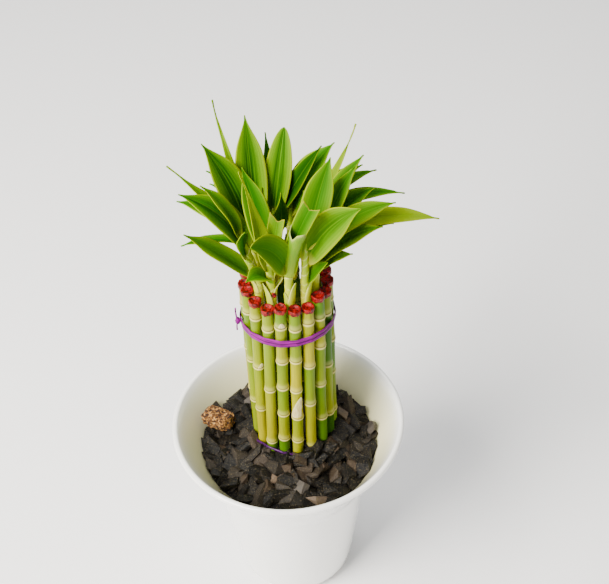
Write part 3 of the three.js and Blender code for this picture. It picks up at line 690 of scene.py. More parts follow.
def loft_faces(rows, sides, start=0, closed_ends=True):
    """Faces of a tube of rings, each counter-clockwise seen from the end."""
    faces = []
    for row in range(rows - 1):
        for i in range(sides):
            j = (i + 1) % sides
            a = start + row * sides
            b = a + sides
            faces.append((a + i, a + j, b + j, b + i))
    if closed_ends:
        faces.append(tuple(start + i for i in reversed(range(sides))))
        faces.append(tuple(start + (rows - 1) * sides + i for i in range(sides)))
    return faces


def sheet_faces(rows, columns):
    """Faces of a sheet of points in rows."""
    faces = []
    for row in range(rows - 1):
        for i in range(columns - 1):
            a = row * columns + i
            faces.append((a, a + 1, a + 1 + columns, a + columns))
    return faces


# Pot
def pot_radius(z):
    """The pot's outside radius at one height."""
    slope = (POT_SHOULDER_RADIUS - POT_FOOT_RADIUS) / POT_SHOULDER_Z
    at_rim = POT_FOOT_RADIUS + slope * POT_HEIGHT
    up = max(0, (z - POT_SHOULDER_Z) / (POT_HEIGHT - POT_SHOULDER_Z))
    corner = POT_CORNER - math.sqrt(POT_CORNER**2 - (POT_CORNER - z) ** 2) if z < POT_CORNER else 0
    return POT_FOOT_RADIUS + slope * z + (POT_RIM_RADIUS - at_rim) * up**POT_FLARE - corner


def outwards(z):
    """The outside's normal in the profile's plane, as (radius, height)."""
    step = 0.5
    rise = np.array([pot_radius(z + step) - pot_radius(z - step), 2 * step])
    return np.array([rise[1], -rise[0]]) / np.linalg.norm(rise)


def inner_radius(z):
    """The pot's inside radius at one height."""
    return pot_radius(z) - POT_WALL / outwards(z)[0]


def lathe(name, profile, sides):
    """A turned solid through (radius, height) pairs, with a radius of 0 at both ends."""
    points = [(0, 0, profile[0][1])]
    for radius, z in profile[1:-1]:
        for i in range(sides):
            turn = 2 * math.pi * i / sides
            points.append((radius * math.cos(turn), radius * math.sin(turn), z))
    points.append((0, 0, profile[-1][1]))
    rows = len(profile) - 2
    faces = loft_faces(rows, sides, 1, False)
    last = len(points) - 1
    for i in range(sides):
        j = (i + 1) % sides
        faces.append((0, 1 + j, 1 + i))
        faces.append((last, last - sides + i, last - sides + j))
    return mesh_object(name, points, faces)


def glazed_pot():
    """The pot, turned in one closed profile: outside, rolled lip, inside and floor."""
    sides = 160
    wall_rings = 44
    lip_rings = 15
    painted_shade_depth = 9
    corner_angles = range(0, 86, 8)
    wall_foot = 20
    inside_foot = 18
    floor_corner = 11
    floor_fillet = 6
    corner = [POT_CORNER * (1 - math.cos(math.radians(angle))) for angle in corner_angles]
    walls = corner + list(np.linspace(wall_foot, POT_HEIGHT - POT_WALL / 2 - 1, wall_rings))
    outside = [(pot_radius(z), z) for z in walls]
    lip_height = POT_HEIGHT - POT_WALL / 2 - 0.5
    out = outwards(lip_height)
    edge = np.array([pot_radius(lip_height), lip_height])
    centre = edge - out * POT_WALL / 2
    first = math.atan2(out[1], out[0])
    lip = []
    for angle in np.linspace(0, math.pi, lip_rings):
        way = level_way(first + angle)[:2]
        lip.append(tuple(centre + way * POT_WALL / 2))
    down = np.linspace(POT_HEIGHT - POT_WALL - 1, inside_foot, wall_rings)
    inside = [(inner_radius(z), z) for z in down]
    floor_radius = inner_radius(floor_corner)
    floor = [(floor_radius, floor_corner), (floor_radius - floor_fillet, POT_FLOOR)]
    profile = [(0, 0)] + outside + lip + inside + floor + [(0, POT_FLOOR)]
    body = lathe("pot_body", profile, sides)
    # thin is 1 on the outside and the lip and falls with depth inside, where the glaze is drawn cream as
    # painted shade and painted reflection
    thin = [1.0] * (len(outside) + len(lip))
    thin += [math.exp((z - POT_HEIGHT) / painted_shade_depth) for _, z in inside + floor]
    give(body, thin=[1.0] + [value for value in thin for _ in range(sides)] + [0.0])
    return body


# Nodes
def linear(code):
    """The linear colour of an sRGB hex value."""
    parts = [int(code[i : i + 2], 16) / 255 for i in (1, 3, 5)]
    return tuple(v / 12.92 if v <= 0.04045 else ((v + 0.055) / 1.055) ** 2.4 for v in parts) + (1.0,)


def feed(tree, socket, value):
    """Gives an input a link from a node or an output, a list of them, a hex colour or a value."""
    if isinstance(value, list):
        for each in value:
            feed(tree, socket, each)
    elif isinstance(value, bpy.types.Node):
        feed(tree, socket, next(output for output in value.outputs if output.enabled))
    elif isinstance(value, bpy.types.NodeSocket):
        tree.links.new(value, socket)
    elif isinstance(value, str) and value.startswith("#"):
        socket.default_value = linear(value)
    else:
        socket.default_value = value


def node(tree, kind, inputs=None, stops=None, **settings):
    """Adds one node with its settings and inputs, and a ramp's stops as (place, hex or share)."""
    made = tree.nodes.new(kind)
    for name, value in settings.items():
        setattr(made, name, value)
    for key, value in (inputs or {}).items():
        feed(tree, made.inputs[key], value)
    if stops:
        elements = made.color_ramp.elements
        while len(elements) < len(stops):
            elements.new(1.0)
        for element, (place, tone) in zip(elements, stops):
            element.position = place
            element.color = linear(tone) if isinstance(tone, str) else (tone, tone, tone, 1.0)
    return made


# Geometry nodes
def new_tree(name, sizes):
    """An empty geometry tree with a named input for each size, and what those inputs give."""
    tree = bpy.data.node_groups.new(name, "GeometryNodeTree")
    tree.interface.new_socket("Geometry", in_out="INPUT", socket_type="NodeSocketGeometry")
    for size, kind in sizes.items():
        tree.interface.new_socket(size, in_out="INPUT", socket_type=f"NodeSocket{kind}")
    tree.interface.new_socket("Geometry", in_out="OUTPUT", socket_type="NodeSocketGeometry")
    return tree, node(tree, "NodeGroupInput").outputs


def end_tree(tree, given, geometry, smooth=None):
    """Ends a tree: its instances made real, shaded where asked, in the given material."""
    real = node(tree, "GeometryNodeRealizeInstances", {"Geometry": geometry})
    if smooth is not None:
        real = node(tree, "GeometryNodeSetShadeSmooth", {"Geometry": real, "Shade Smooth": smooth})
    coated = node(tree, "GeometryNodeSetMaterial", {"Geometry": real, "Material": given["Material"]})
    node(tree, "NodeGroupOutput", {"Geometry": coated})
    return tree


def run_tree(carrier, tree, values):
    """Evaluates the tree on the carrier and keeps the result as its plain mesh."""
    modifier = carrier.modifiers.new(tree.name, "NODES")
    modifier.node_group = tree
    for socket in tree.interface.items_tree:
        if socket.in_out == "INPUT" and socket.name in values:
            modifier[socket.identifier] = values[socket.name]
    graph = bpy.context.evaluated_depsgraph_get()
    graph.update()
    mesh = bpy.data.meshes.new_from_object(carrier.evaluated_get(graph))
    carrier.modifiers.clear()
    carrier.data = mesh
    return carrier


def sweep_tree():
    """A tube along a path, as thick at each point as the path's stored radius says."""
    sizes = {"Sides": "Int", "Flatness": "Float", "Material": "Material"}
    tree, given = new_tree("sweep_along_path", sizes)
    path = node(tree, "GeometryNodeMeshToCurve", {"Mesh": given["Geometry"]})
    upright = node(tree, "GeometryNodeSetCurveNormal", {"Curve": path}, mode="Z_UP")
    radius = node(tree, "GeometryNodeInputNamedAttribute", {"Name": "radius"}, data_type="FLOAT")
    thick = node(tree, "GeometryNodeSetCurveRadius", {"Curve": upright, "Radius": radius})
    ring = node(tree, "GeometryNodeCurvePrimitiveCircle", {"Resolution": given["Sides"], "Radius": 1.0})
    size = node(tree, "ShaderNodeCombineXYZ", {"X": given["Flatness"], "Y": 1.0, "Z": 1.0})
    squeezed = node(tree, "GeometryNodeTransform", {"Geometry": ring, "Scale": size})
    swept = {"Curve": thick, "Profile Curve": squeezed, "Scale": radius, "Fill Caps": True}
    tube = node(tree, "GeometryNodeCurveToMesh", swept)
    return end_tree(tree, given, tube, smooth=True)


def blade_tree():
    """Veins pressed into a sheet, which then gets its thickness and closed edges."""
    sizes = {"Thickness": "Float", "Vein depth": "Float", "Material": "Material"}
    tree, given = new_tree("leaf_blade", sizes)
    weld = 2e-6
    vein = node(tree, "GeometryNodeInputNamedAttribute", {"Name": "vein"}, data_type="FLOAT")
    normal = node(tree, "GeometryNodeInputNormal")
    wave = node(tree, "ShaderNodeMath", {0: vein}, operation="SINE")
    depth = node(tree, "ShaderNodeMath", {0: wave, 1: given["Vein depth"]}, operation="MULTIPLY")
    press = node(tree, "ShaderNodeVectorMath", {0: normal, "Scale": depth}, operation="SCALE")
    veined = node(tree, "GeometryNodeSetPosition", {"Geometry": given["Geometry"], "Offset": press})
    down = node(tree, "ShaderNodeMath", {0: given["Thickness"], 1: -1.0}, operation="MULTIPLY")
    below = node(tree, "ShaderNodeVectorMath", {0: normal, "Scale": down}, operation="SCALE")
    under = node(tree, "GeometryNodeSetPosition", {"Geometry": veined, "Offset": below})
    thickened = {"Mesh": under, "Offset Scale": given["Thickness"], "Individual": False}
    raised = node(tree, "GeometryNodeExtrudeMesh", thickened, mode="FACES")
    back = node(tree, "GeometryNodeFlipFaces", {"Mesh": under})
    both = node(tree, "GeometryNodeJoinGeometry", {"Geometry": [raised, back]})
    closed = node(tree, "GeometryNodeMergeByDistance", {"Geometry": both, "Distance": weld})
    return end_tree(tree, given, closed)


def chips_tree():
    """Broken slate strewn over a bed: a few angular shapes, each chip with its own size and turn."""
    tree, given = new_tree(
        "slate_chips",
        {
            "Spacing": "Float",
            "Smallest": "Vector",
            "Largest": "Vector",
            "Seed": "Int",
            "Material": "Material",
        },
    )
    random = "FunctionNodeRandomValue"
    seed = given["Seed"]
    most_in_a_square_metre = 60000.0
    scatter = {
        "Mesh": given["Geometry"],
        "Distance Min": given["Spacing"],
        "Density Max": most_in_a_square_metre,
        "Seed": seed,
    }
    spots = node(tree, "GeometryNodeDistributePointsOnFaces", scatter, distribute_method="POISSON")
    sizes = {0: given["Smallest"], 1: given["Largest"], "Seed": seed}
    size = node(tree, random, sizes, data_type="FLOAT_VECTOR")
    turns = {0: (-CHIP_LEAN, -CHIP_LEAN, 0.0), 1: (CHIP_LEAN, CHIP_LEAN, 2 * math.pi), "Seed": seed}
    turn = node(tree, random, turns, data_type="FLOAT_VECTOR")
    shapes = []
    for shape in range(CHIP_SHAPES):
        cut = {"Size": (CHIP_BLOCK,) * 3, "Vertices X": 3, "Vertices Y": 2, "Vertices Z": 3}
        block = node(tree, "GeometryNodeMeshCube", cut)
        knocks = {0: (-CHIP_KNOCK,) * 3, 1: (CHIP_KNOCK,) * 3, "Seed": shape}
        knock = node(tree, random, knocks, data_type="FLOAT_VECTOR")
        knocked = node(tree, "GeometryNodeSetPosition", {"Geometry": block, "Offset": knock})
        hull = node(tree, "GeometryNodeConvexHull", {"Geometry": knocked})
        shapes.append(node(tree, "GeometryNodeGeometryToInstance", {"Geometry": hull}))
    choice = node(tree, "GeometryNodeJoinGeometry", {"Geometry": shapes})
    which = node(tree, random, {4: 0, 5: CHIP_SHAPES - 1, "Seed": seed}, data_type="INT")
    strew = {
        "Points": spots,
        "Instance": choice,
        "Pick Instance": True,
        "Instance Index": which,
        "Rotation": turn,
        "Scale": size,
    }
    strewn = node(tree, "GeometryNodeInstanceOnPoints", strew)
    # A random tone for each chip, whose lowest values the material draws near black as painted shade
    shade = node(tree, random, {2: 0.0, 3: 1.0, "Seed": seed}, data_type="FLOAT")
    toned = node(
        tree,
        "GeometryNodeStoreNamedAttribute",
        {"Geometry": strewn, "Name": "shade", "Value": shade},
        data_type="FLOAT",
        domain="INSTANCE",
    )
    return end_tree(tree, given, toned, smooth=False)


# Materials
class Finish:
    """A material while it is made, on one shader: constant values go straight on its sockets,
    and carried holds the numbers that it reads from the piece's points."""

    def __init__(self, name, reads=(), **constants):
        self.material = bpy.data.materials.new(name)
        self.material.use_nodes = True
        self.tree = self.material.node_tree
        self.shader = self.tree.nodes["Principled BSDF"]
        for key, value in constants.items():
            feed(self.tree, self.shader.inputs[key.replace("_", " ")], value)
        attributes = [self.add("ShaderNodeAttribute", attribute_name=read) for read in reads]
        self.carried = [attribute.outputs["Fac"] for attribute in attributes]

    def add(self, kind, inputs=None, stops=None, **settings):
        """Adds one node to this material."""
        return node(self.tree, kind, inputs, stops, **settings)

    def grain(self, size, detail=3.0, rough=0.5, stretch=(1.0, 1.0, 1.0)):
        """A pattern with lumps this many millimetres across, drawn out where stretch is under 1."""
        place = self.add("ShaderNodeTexCoord").outputs["Object"]
        drawn = self.add("ShaderNodeMapping", {"Vector": place, "Scale": stretch})
        lumps = {"Vector": drawn, "Scale": 1 / (size * MM), "Detail": detail, "Roughness": rough}
        return self.add("ShaderNodeTexNoise", lumps)

    def over(self, below, colour, share, stops=None):
        """A colour laid over another by a share, or where a pattern passes the stops."""
        if stops:
            share = self.add("ShaderNodeValToRGB", {"Fac": share}, stops)
        return self.add("ShaderNodeMix", {0: share, 6: below, 7: colour}, data_type="RGBA")

    def coat(self, colour, height, depth):
        """Ends the material with its colour, and a relief this many millimetres deep."""
        relief = self.add("ShaderNodeBump", {"Height": height, "Distance": depth * MM, "Strength": 1.0})
        feed(self.tree, self.shader.inputs["Normal"], relief)
        feed(self.tree, self.shader.inputs["Base Color"], colour)
        return self.material


def white_glaze():
    """Earthenware in white glaze, drawn cream inside as painted shade and painted reflection, deeper
    downwards: a soft mirror with pin marks.
    """
    glaze = Finish("white_ceramic_glaze", ["thin"], Roughness=0.08, IOR=1.5, Coat_Weight=0.3)
    pin_spacing = 34
    # Painted shade and painted reflection: cream inside, white on the outside and the lip
    shade_creams = [(0.3, "#ebe6b8"), (0.7, "#e4dfae")]
    shade_cream = glaze.add("ShaderNodeValToRGB", {"Fac": glaze.grain(60)}, shade_creams)
    body = glaze.over(shade_cream, "#fafaf6", glaze.carried[0])
    place = glaze.add("ShaderNodeTexCoord").outputs["Object"]
    spots = glaze.add("ShaderNodeTexVoronoi", {"Vector": place, "Scale": 1 / (pin_spacing * MM)})
    pinned = glaze.over(body, "#7d7566", spots, [(0.0, 1.0), (0.012, 1.0), (0.02, 0.0)])
    return glaze.coat(pinned, glaze.grain(22, 1.0), 0.05)


def split_slate():
    """Split slate: charcoal chips, a few browner or paler, the darkest near black as painted shade between
    chips, with flaky dull faces.
    """
    slate = Finish("split_slate", ["shade"], Roughness=0.5, IOR=1.5, Specular_IOR_Level=0.2)
    # Painted shade: the lowest, near-black stops of each chip's random tone stand for the shade in the gaps
    # between chips
    tones = slate.add(
        "ShaderNodeValToRGB",
        {"Fac": slate.carried[0]},
        [
            (0.0, "#020202"),
            (0.35, "#080706"),
            (0.62, "#14110d"),
            (0.82, "#2a251f"),
            (0.94, "#362a1e"),
            (0.988, "#484440"),
            (1.0, "#66523e"),
        ],
    )
    dusty = slate.over(tones, "#3c3324", slate.grain(3, 5.0, 0.65), [(0.5, 0.0), (0.8, 0.3)])
    flecked = slate.over(dusty, "#6e6248", slate.grain(0.9, 2.0), [(0.6, 0.0), (0.68, 0.5)])
    return slate.coat(flecked, slate.grain(1.6, 4.0, 0.6, (1.0, 1.0, 4.0)), 0.8)


def cork_bark():
    """A lump of pressed bark: orange brown, open-pored and dull, near black in its pores as painted shade.
    """
    bark = Finish("pressed_bark", Roughness=0.95)
    grains = bark.grain(2.4, 6.0, 0.7)
    # Painted shade: the stops follow the relief's grains, so the pores where it dips are drawn near black
    tones = [(0.4, "#0a0300"), (0.47, "#3c1e04"), (0.54, "#88581c"), (0.68, "#c8a468")]
    return bark.coat(bark.add("ShaderNodeValToRGB", {"Fac": grains}, tones), grains, 1.6)


def cane_skin():
    """Living cane skin: waxy, yellow-green to green by internode, with pale corky ring scars."""
    cane = Finish(
        "waxy_cane_skin", ["green", "bloom", "scar"], Roughness=0.4, IOR=1.42, Specular_IOR_Level=0.12
    )
    green, bloom, scar = cane.carried
    streaks = cane.grain(1.1, 4.0, 0.6, (1.0, 1.0, 0.06))
    tones = [(0.0, "#a89e00"), (0.35, "#7e8c00"), (0.65, "#4c7600"), (1.0, "#204800")]
    body = cane.add("ShaderNodeValToRGB", {"Fac": green}, tones)
    streaked = cane.over(body, "#465c00", streaks, [(0.45, 0.0), (0.8, 0.4)])
    paled = cane.over(streaked, "#dcd07c", bloom)
    scarred = cane.over(paled, "#5a3e14", scar)
    marked = cane.over(scarred, "#5a4a14", cane.grain(3.2, 5.0, 0.7), [(0.68, 0.0), (0.74, 0.6)])
    return cane.coat(marked, streaks, 0.12)


def leaf_skin():
    """A satin strap leaf: thin pale margins, dark streaked middle, fine parallel veins; light
    shows through it from behind."""
    reads = ["across", "along", "green", "chance", "stripe", "vein", "torn"]
    leaf = Finish("satin_leaf_skin", reads, Roughness=0.48, IOR=1.4, Specular_IOR_Level=0.03)
    sideways, along, green, chance, stripe, vein, torn = leaf.carried
    streaks_across = 6.0
    streaks_along = 0.9
    own_streaks = 40.0
    light_through = 0.25
    across = leaf.add("ShaderNodeMath", {0: sideways}, operation="ABSOLUTE")
    body = leaf.add(
        "ShaderNodeValToRGB",
        {"Fac": green},
        [(0.0, "#7c9800"), (0.25, "#428000"), (0.5, "#266c00"), (0.75, "#175400"), (1.0, "#0e3600")],
    )
    paler = [(0.0, "#8a9e00"), (0.5, "#629000"), (1.0, "#2a6000")]
    edge = leaf.add("ShaderNodeValToRGB", {"Fac": green}, paler)
    edged = leaf.over(body, edge, across, [(0.1, 0.0), (0.45, 0.2), (0.8, 0.6), (0.93, 1.0)])
    rimmed = leaf.over(edged, "#aab60c", across, [(0.88, 0.0), (0.95, 0.5)])
    wide = leaf.add("ShaderNodeMath", {0: sideways, 1: streaks_across}, operation="MULTIPLY")
    drawn = leaf.add("ShaderNodeMath", {0: along, 1: streaks_along}, operation="MULTIPLY")
    own = leaf.add("ShaderNodeMath", {0: chance, 1: own_streaks}, operation="MULTIPLY")
    lengthwise = leaf.add("ShaderNodeCombineXYZ", {"X": wide, "Y": drawn, "Z": own})
    streaky = {"Vector": lengthwise, "Scale": 1.6, "Detail": 3.0, "Roughness": 0.55}
    streaks = leaf.add("ShaderNodeTexNoise", streaky)
    fade = [(0.0, 1.0), (0.25, 0.95), (0.45, 0.4), (0.68, 0.0)]
    middle = leaf.add("ShaderNodeValToRGB", {"Fac": across}, fade)
    broken = leaf.add("ShaderNodeValToRGB", {"Fac": streaks}, [(0.36, 0.2), (0.52, 1.0)])
    weight = leaf.add("ShaderNodeMath", {0: middle, 1: stripe}, operation="MULTIPLY")
    striped = leaf.add("ShaderNodeMath", {0: weight, 1: broken}, operation="MULTIPLY")
    dark = leaf.over(rimmed, "#124400", striped)
    ribbed = leaf.over(dark, "#74a008", across, [(0.0, 0.4), (0.02, 0.25), (0.045, 0.0)])
    wave = leaf.add("ShaderNodeMath", {0: vein}, operation="SINE")
    lined = leaf.over(ribbed, "#1e5a00", wave, [(0.2, 0.0), (1.0, 0.25)])
    footed = leaf.over(lined, "#b0b03a", along, [(0.0, 0.9), (0.06, 0.6), (0.15, 0.0)])
    whole = leaf.over(footed, "#98902c", torn)
    shine = leaf.add("ShaderNodeBsdfTranslucent", {"Color": leaf.over(whole, "#7cb000", 0.4)})
    both = leaf.add("ShaderNodeMixShader", {0: light_through, 1: leaf.shader, 2: shine})
    feed(leaf.tree, leaf.tree.nodes["Material Output"].inputs["Surface"], both)
    return leaf.coat(whole, leaf.grain(4.5, 3.0, 0.5, (1.0, 1.0, 0.35)), 0.2)


def sheath_skin():
    """Overlapping young leaf sheaths: pale yellow-green, satin, with papery collars."""
    sheath = Finish("young_sheath", ["green", "collar"], Roughness=0.45, IOR=1.42, Specular_IOR_Level=0.15)
    green, collar = sheath.carried
    lines = sheath.grain(0.9, 3.0, 0.6, (1.0, 1.0, 0.05))
    tones = [(0.0, "#d8cc2a"), (0.5, "#aab80c"), (1.0, "#5c8a00")]
    body = sheath.add("ShaderNodeValToRGB", {"Fac": green}, tones)
    lined = sheath.over(body, "#98a410", lines, [(0.4, 0.0), (0.75, 0.4)])
    return sheath.coat(sheath.over(lined, "#ddd48c", collar), lines, 0.15)


def red_wax():
    """Dipped sealing wax: bright red, lumpy, half glossy, darker in its creases as painted shade."""
    wax = Finish("dipped_red_wax", Roughness=0.36, IOR=1.42, Specular_IOR_Level=0.25)
    lumps = wax.grain(2.2, 4.0, 0.65)
    # Painted shade: the stops follow the lumps of the relief, so the creases where it dips are drawn dark
    tones = [(0.38, "#1c0001"), (0.47, "#660306"), (0.6, "#960a0c"), (0.8, "#b41c18")]
    return wax.coat(wax.add("ShaderNodeValToRGB", {"Fac": lumps}, tones), lumps, 0.9)


def satin_ribbon():
    """Satin ribbon pulled tight: magenta, darker in the dips of its fine folds and along a wavy crease,
    both painted shade, with a silky gleam.
    """
    satin = Finish("magenta_satin", Roughness=0.45, Specular_IOR_Level=0.12)
    wander = 2.0
    folds = satin.grain(1.6, 4.0, 0.6, (0.12, 0.12, 1.4))
    # Painted shade: the tones follow the folds' relief, darker where it dips
    tones = [(0.3, "#340038"), (0.46, "#6c0068"), (0.72, "#900a88")]
    body = satin.add("ShaderNodeValToRGB", {"Fac": folds}, tones)
    place = satin.add("ShaderNodeTexCoord").outputs["Object"]
    up = satin.add("ShaderNodeSeparateXYZ", {0: place}).outputs["Z"]
    over_middle = {0: up, 1: 1 / MM, 2: -RIBBON_HEIGHT}
    middle = satin.add("ShaderNodeMath", over_middle, operation="MULTIPLY_ADD")
    wavy = {0: satin.grain(9, 2.0), 1: wander, 2: middle}
    aside = satin.add("ShaderNodeMath", wavy, operation="MULTIPLY_ADD")
    from_crease = satin.add("ShaderNodeMath", {0: aside, 1: wander / 2}, operation="SUBTRACT")
    away = satin.add("ShaderNodeMath", {0: from_crease}, operation="ABSOLUTE")
    # Painted shade: dark along the wavy crease where the two strands meet
    crease_shaded = satin.over(body, "#1a001e", away, [(0.0, 0.9), (0.3, 0.7), (0.6, 0.0)])
    return satin.coat(crease_shaded, folds, 0.4)


def purple_cord():
    """A thin coated garden tie: deep purple, smooth and slightly glossy."""
    cord = Finish("purple_garden_tie", Roughness=0.42, IOR=1.5, Specular_IOR_Level=0.3)
    rub = cord.grain(1.4, 3.0, 0.6)
    tones = [(0.35, "#1e0026"), (0.7, "#480058")]
    return cord.coat(cord.add("ShaderNodeValToRGB", {"Fac": rub}, tones), rub, 0.1)


def dry_husk():
    """Dried leaf sheath: papery, off-white to straw, with fine fibres."""
    husk = Finish("papery_husk", Roughness=0.75)
    fibres = husk.grain(0.7, 4.0, 0.6, (1.0, 1.0, 0.08))
    tones = [(0.3, "#9a8440"), (0.5, "#d4c684"), (0.75, "#f2eec6")]
    return husk.coat(husk.add("ShaderNodeValToRGB", {"Fac": fibres}, tones), fibres, 0.2)


# Pieces
def dress(piece, nodes, material=None):
    """Seats a finished piece in the frame: its material, body and the nodes it stands for."""
    if material:
        piece.data.materials.clear()
        piece.data.materials.append(material)
    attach(piece, "root")
    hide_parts(*nodes)


def bamboo_cane(number, cane, sweep, skin):
    """One cut cane: waisted internodes between ring scars, with a slight bend at each."""
    draw = seeded(CANE_SEED + number)
    name = f"cane_{number + 1:02d}"
    _, _, cut, scars = cane
    internodes = len(scars) + 2
    bends = [[between(draw, -CANE_SWAY, CANE_SWAY) for _ in range(2)] for _ in range(internodes)]
    # Painted shade: canes round the right and the back are drawn a darker green
    shaded = PAINTED_SHADE_GREEN * clamp((cane[0] - PAINTED_SHADE_FROM) / PAINTED_SHADE_OVER)
    tones = [between(draw, 0.0, MOST_DRAWN_GREEN) + shaded for _ in range(internodes)]
    marks = [cut + CUT_OFF_ABOVE] + scars + [CANE_BOTTOM - CUT_OFF_BELOW]
    top = cut - CANE_UNDER_CUT
    heights = set(np.arange(CANE_BOTTOM, top, CANE_STEP))
    heights.update(scar + step for scar in scars for step in SCAR_STEPS)
    path, radius, green, scarred, bloom = [], [], [], [], []
    for z in sorted(z for z in heights if CANE_BOTTOM <= z <= top):
        part = next(i for i in range(len(marks) - 1) if marks[i] >= z > marks[i + 1])
        upper, lower = marks[part], marks[part + 1]
        share = (z - lower) / (upper - lower)
        waist = 4 * share * (1 - share)
        above = z - min(scars, key=lambda scar: abs(scar - z))
        swell = bell(above, *SWELL_BAND) if above <= 0 else math.exp(-above / SWELL_FADE)
        groove = bell(above, *GROOVE_BAND)
        fullest = CANE_RADIUS + CANE_FULLNESS
        radius.append(fullest - CANE_WAIST * waist + SCAR_SWELL * swell - SCAR_GROOVE * groove)
        bend = (1 - share) * np.array(bends[part + 1]) + share * np.array(bends[part])
        path.append(cane_axis(cane, z) + np.array([bend[0], bend[1], 0]))
        scarred.append(clamp(LINE_STRENGTH * bell(above, *LINE_BAND)))
        bloom.append(clamp(sum(strength * bell(above, *band) for strength, *band in BLOOM_BANDS)))
        greener = FOOT_GREEN * clamp((FOOT_GREEN_FROM - z) / FOOT_GREEN_OVER)
        green.append(clamp(tones[part] + UPWARD_GREEN * (share - 0.5) + greener))
    edges = [(i, i + 1) for i in range(len(path) - 1)]
    piece = mesh_object(f"{name}_skin", path, [], edges)
    give(piece, radius=np.array(radius) * MM, green=green, scar=scarred, bloom=bloom)
    run_tree(piece, sweep, {"Sides": CANE_SKIN_SIDES, "Flatness": 1.0, "Material": skin})
    dress(piece, [name])


def wax_cap(number, cane, wax):
    """A cap of dipped wax: ragged lower edge, puckered crater on top."""
    draw = seeded(WAX_SEED + number)
    name = f"wax_seal_{number + 1:02d}"
    turns = np.arange(WAX_SIDES) / WAX_SIDES * 2 * math.pi
    phases = [between(draw, 0, FULL_TURN) for _ in range(5)]
    # The waves of the lower edge: (height, how many go round)
    waves = [(0.5, 1), (0.4, 3), (0.35, 5)]
    drop_length = 0.55
    drop_above = 0.55
    under_solid = 0.1
    unevenness = (-0.02, 0.012)
    edge_share = 0.7
    top_roughness = 0.2
    ragged = sum(height * np.sin(rate * turns + phase) for (height, rate), phase in zip(waves, phases))
    drops = drop_length * (np.sin(7 * turns + phases[3]) > drop_above)
    lobes = 0.14 * np.sin(3 * turns + phases[4]) + 0.1 * np.sin(7 * turns + phases[0])
    full = CANE_RADIUS + WAX_OVERHANG - under_solid
    # Each ring: (height from the cut, radius share, how ragged, how lobed)
    rings = [
        (-3.3, 0.9, 1.0, 0.0),
        (-3.5, 0.945, 1.0, 0.0),
        (-3.1, 0.975, 1.0, 0.4),
        (-2.0, 0.965, 0.3, 0.7),
        (-1.0, 0.975, 0.0, 0.9),
        (-0.3, 0.98, 0.0, 1.0),
        (0.3, 0.93, 0.0, 1.0),
        (0.6, 0.84, 0.0, 1.6),
        (0.25, 0.72, 0.0, 2.6),
        (-0.5, 0.56, 0.0, 3.6),
        (-1.1, 0.36, 0.0, 3.6),
        (-0.9, 0.16, 0.0, 2.0),
    ]
    points = []
    for above, share, rag, lobe in rings:
        centre = cane_axis(cane, cane[2] + above)
        for turn, edge, drop, bulge in zip(turns, ragged, drops, lobes):
            lump = 1 + between(draw, *unevenness)
            reach = (full * share + bulge * lobe * share) * lump
            rough = between(draw, -top_roughness, top_roughness) if above > 0 else 0
            lift = rag * (edge * edge_share - drop) + rough
            points.append(centre + level_way(turn) * reach + UP * lift)
    piece = mesh_object(f"{name}_cap", points, loft_faces(len(rings), WAX_SIDES))
    dress(piece, [name], wax)


def sheathed_stem(shoot, sheath):
    """A shoot's stem: sheaths round one another, each ending in a slanting papery collar."""
    name, number, _, _, top, _ = shoot
    draw = seeded(STEM_SEED + number)
    root = CANES[number][3][0] - SHOOT_HEEL
    collars = []
    z = root + between(draw, *FIRST_COLLAR)
    while z < top:
        collars.append((z, between(draw, 0, FULL_TURN)))
        z += between(draw, *NEXT_COLLAR)
    heights = list(np.arange(root, top + STEM_CAP, STEM_STEP))
    points, green, papery = [], [], []
    for z in heights:
        centre = shoot_axis(shoot, z)
        heel = 0.55 + 0.45 * clamp((z - root) / SHOOT_HEEL)
        cap = 1 - CLOSING * clamp((z - top + CLOSING_FROM) / CLOSING_OVER) ** CLOSING_CURVE
        for i in range(STEM_SIDES):
            turn = 2 * math.pi * i / STEM_SIDES
            proud = 0.0
            edge = 0.0
            for collar, phase in collars:
                below = collar + COLLAR_SLANT * math.cos(turn - phase) - z
                if 0 <= below < SHEATH_FADE:
                    proud = max(proud, SHEATH_PROUD * (1 - below / SHEATH_FADE))
                    edge = max(edge, math.exp(-below / COLLAR_EDGE))
                elif -LIP_HEIGHT < below < 0:
                    proud = max(proud, LIP_PROUD)
            reach = (shoot_radius(shoot, z) - STEM_INSIDE + proud) * heel * cap
            points.append(centre + level_way(turn) * reach)
            green.append(clamp((z - root) / (top - root) * 0.9 + 0.12 * math.sin(3 * turn)))
            papery.append(edge)
    piece = mesh_object(f"shoot_{name}_stem", points, loft_faces(len(heights), STEM_SIDES))
    give(piece, green=green, collar=papery)
    dress(piece, [f"shoot_{name}"], sheath)


def wrapped_scale(name, axis, radius, span, turn, half_angle, spread, twist=0):
    """The sheet of a pointed sheath or husk that hugs its stem and stands off towards its tip."""
    rows = 16
    columns = 9
    point_width = 0.02
    narrowing = 0.55
    off_stem = 0.3
    papery_rim = 0.6
    points, up, papery = [], [], []
    for row in range(rows):
        share = row / (rows - 1)
        z = lerp(*span, share)
        opening = half_angle * max(point_width, (1 - share) ** narrowing)
        reach = radius(z) + off_stem + spread * share**2
        for i in range(columns):
            side = 2 * i / (columns - 1) - 1
            way = math.radians(turn + twist * share + opening * side)
            points.append(axis(z) + level_way(way) * reach)
            up.append(share)
            papery.append(papery_rim * abs(side) ** 6)
    made = mesh_object(name, points, sheet_faces(rows, columns))
    give(made, green=0.25 + 0.4 * np.array(up), collar=papery)
    return made


def thickened(sheet, blade, thickness, material):
    """A thin sheet given its thickness, without veins."""
    return run_tree(sheet, blade, {"Thickness": thickness * MM, "Vein depth": 0.0, "Material": material})


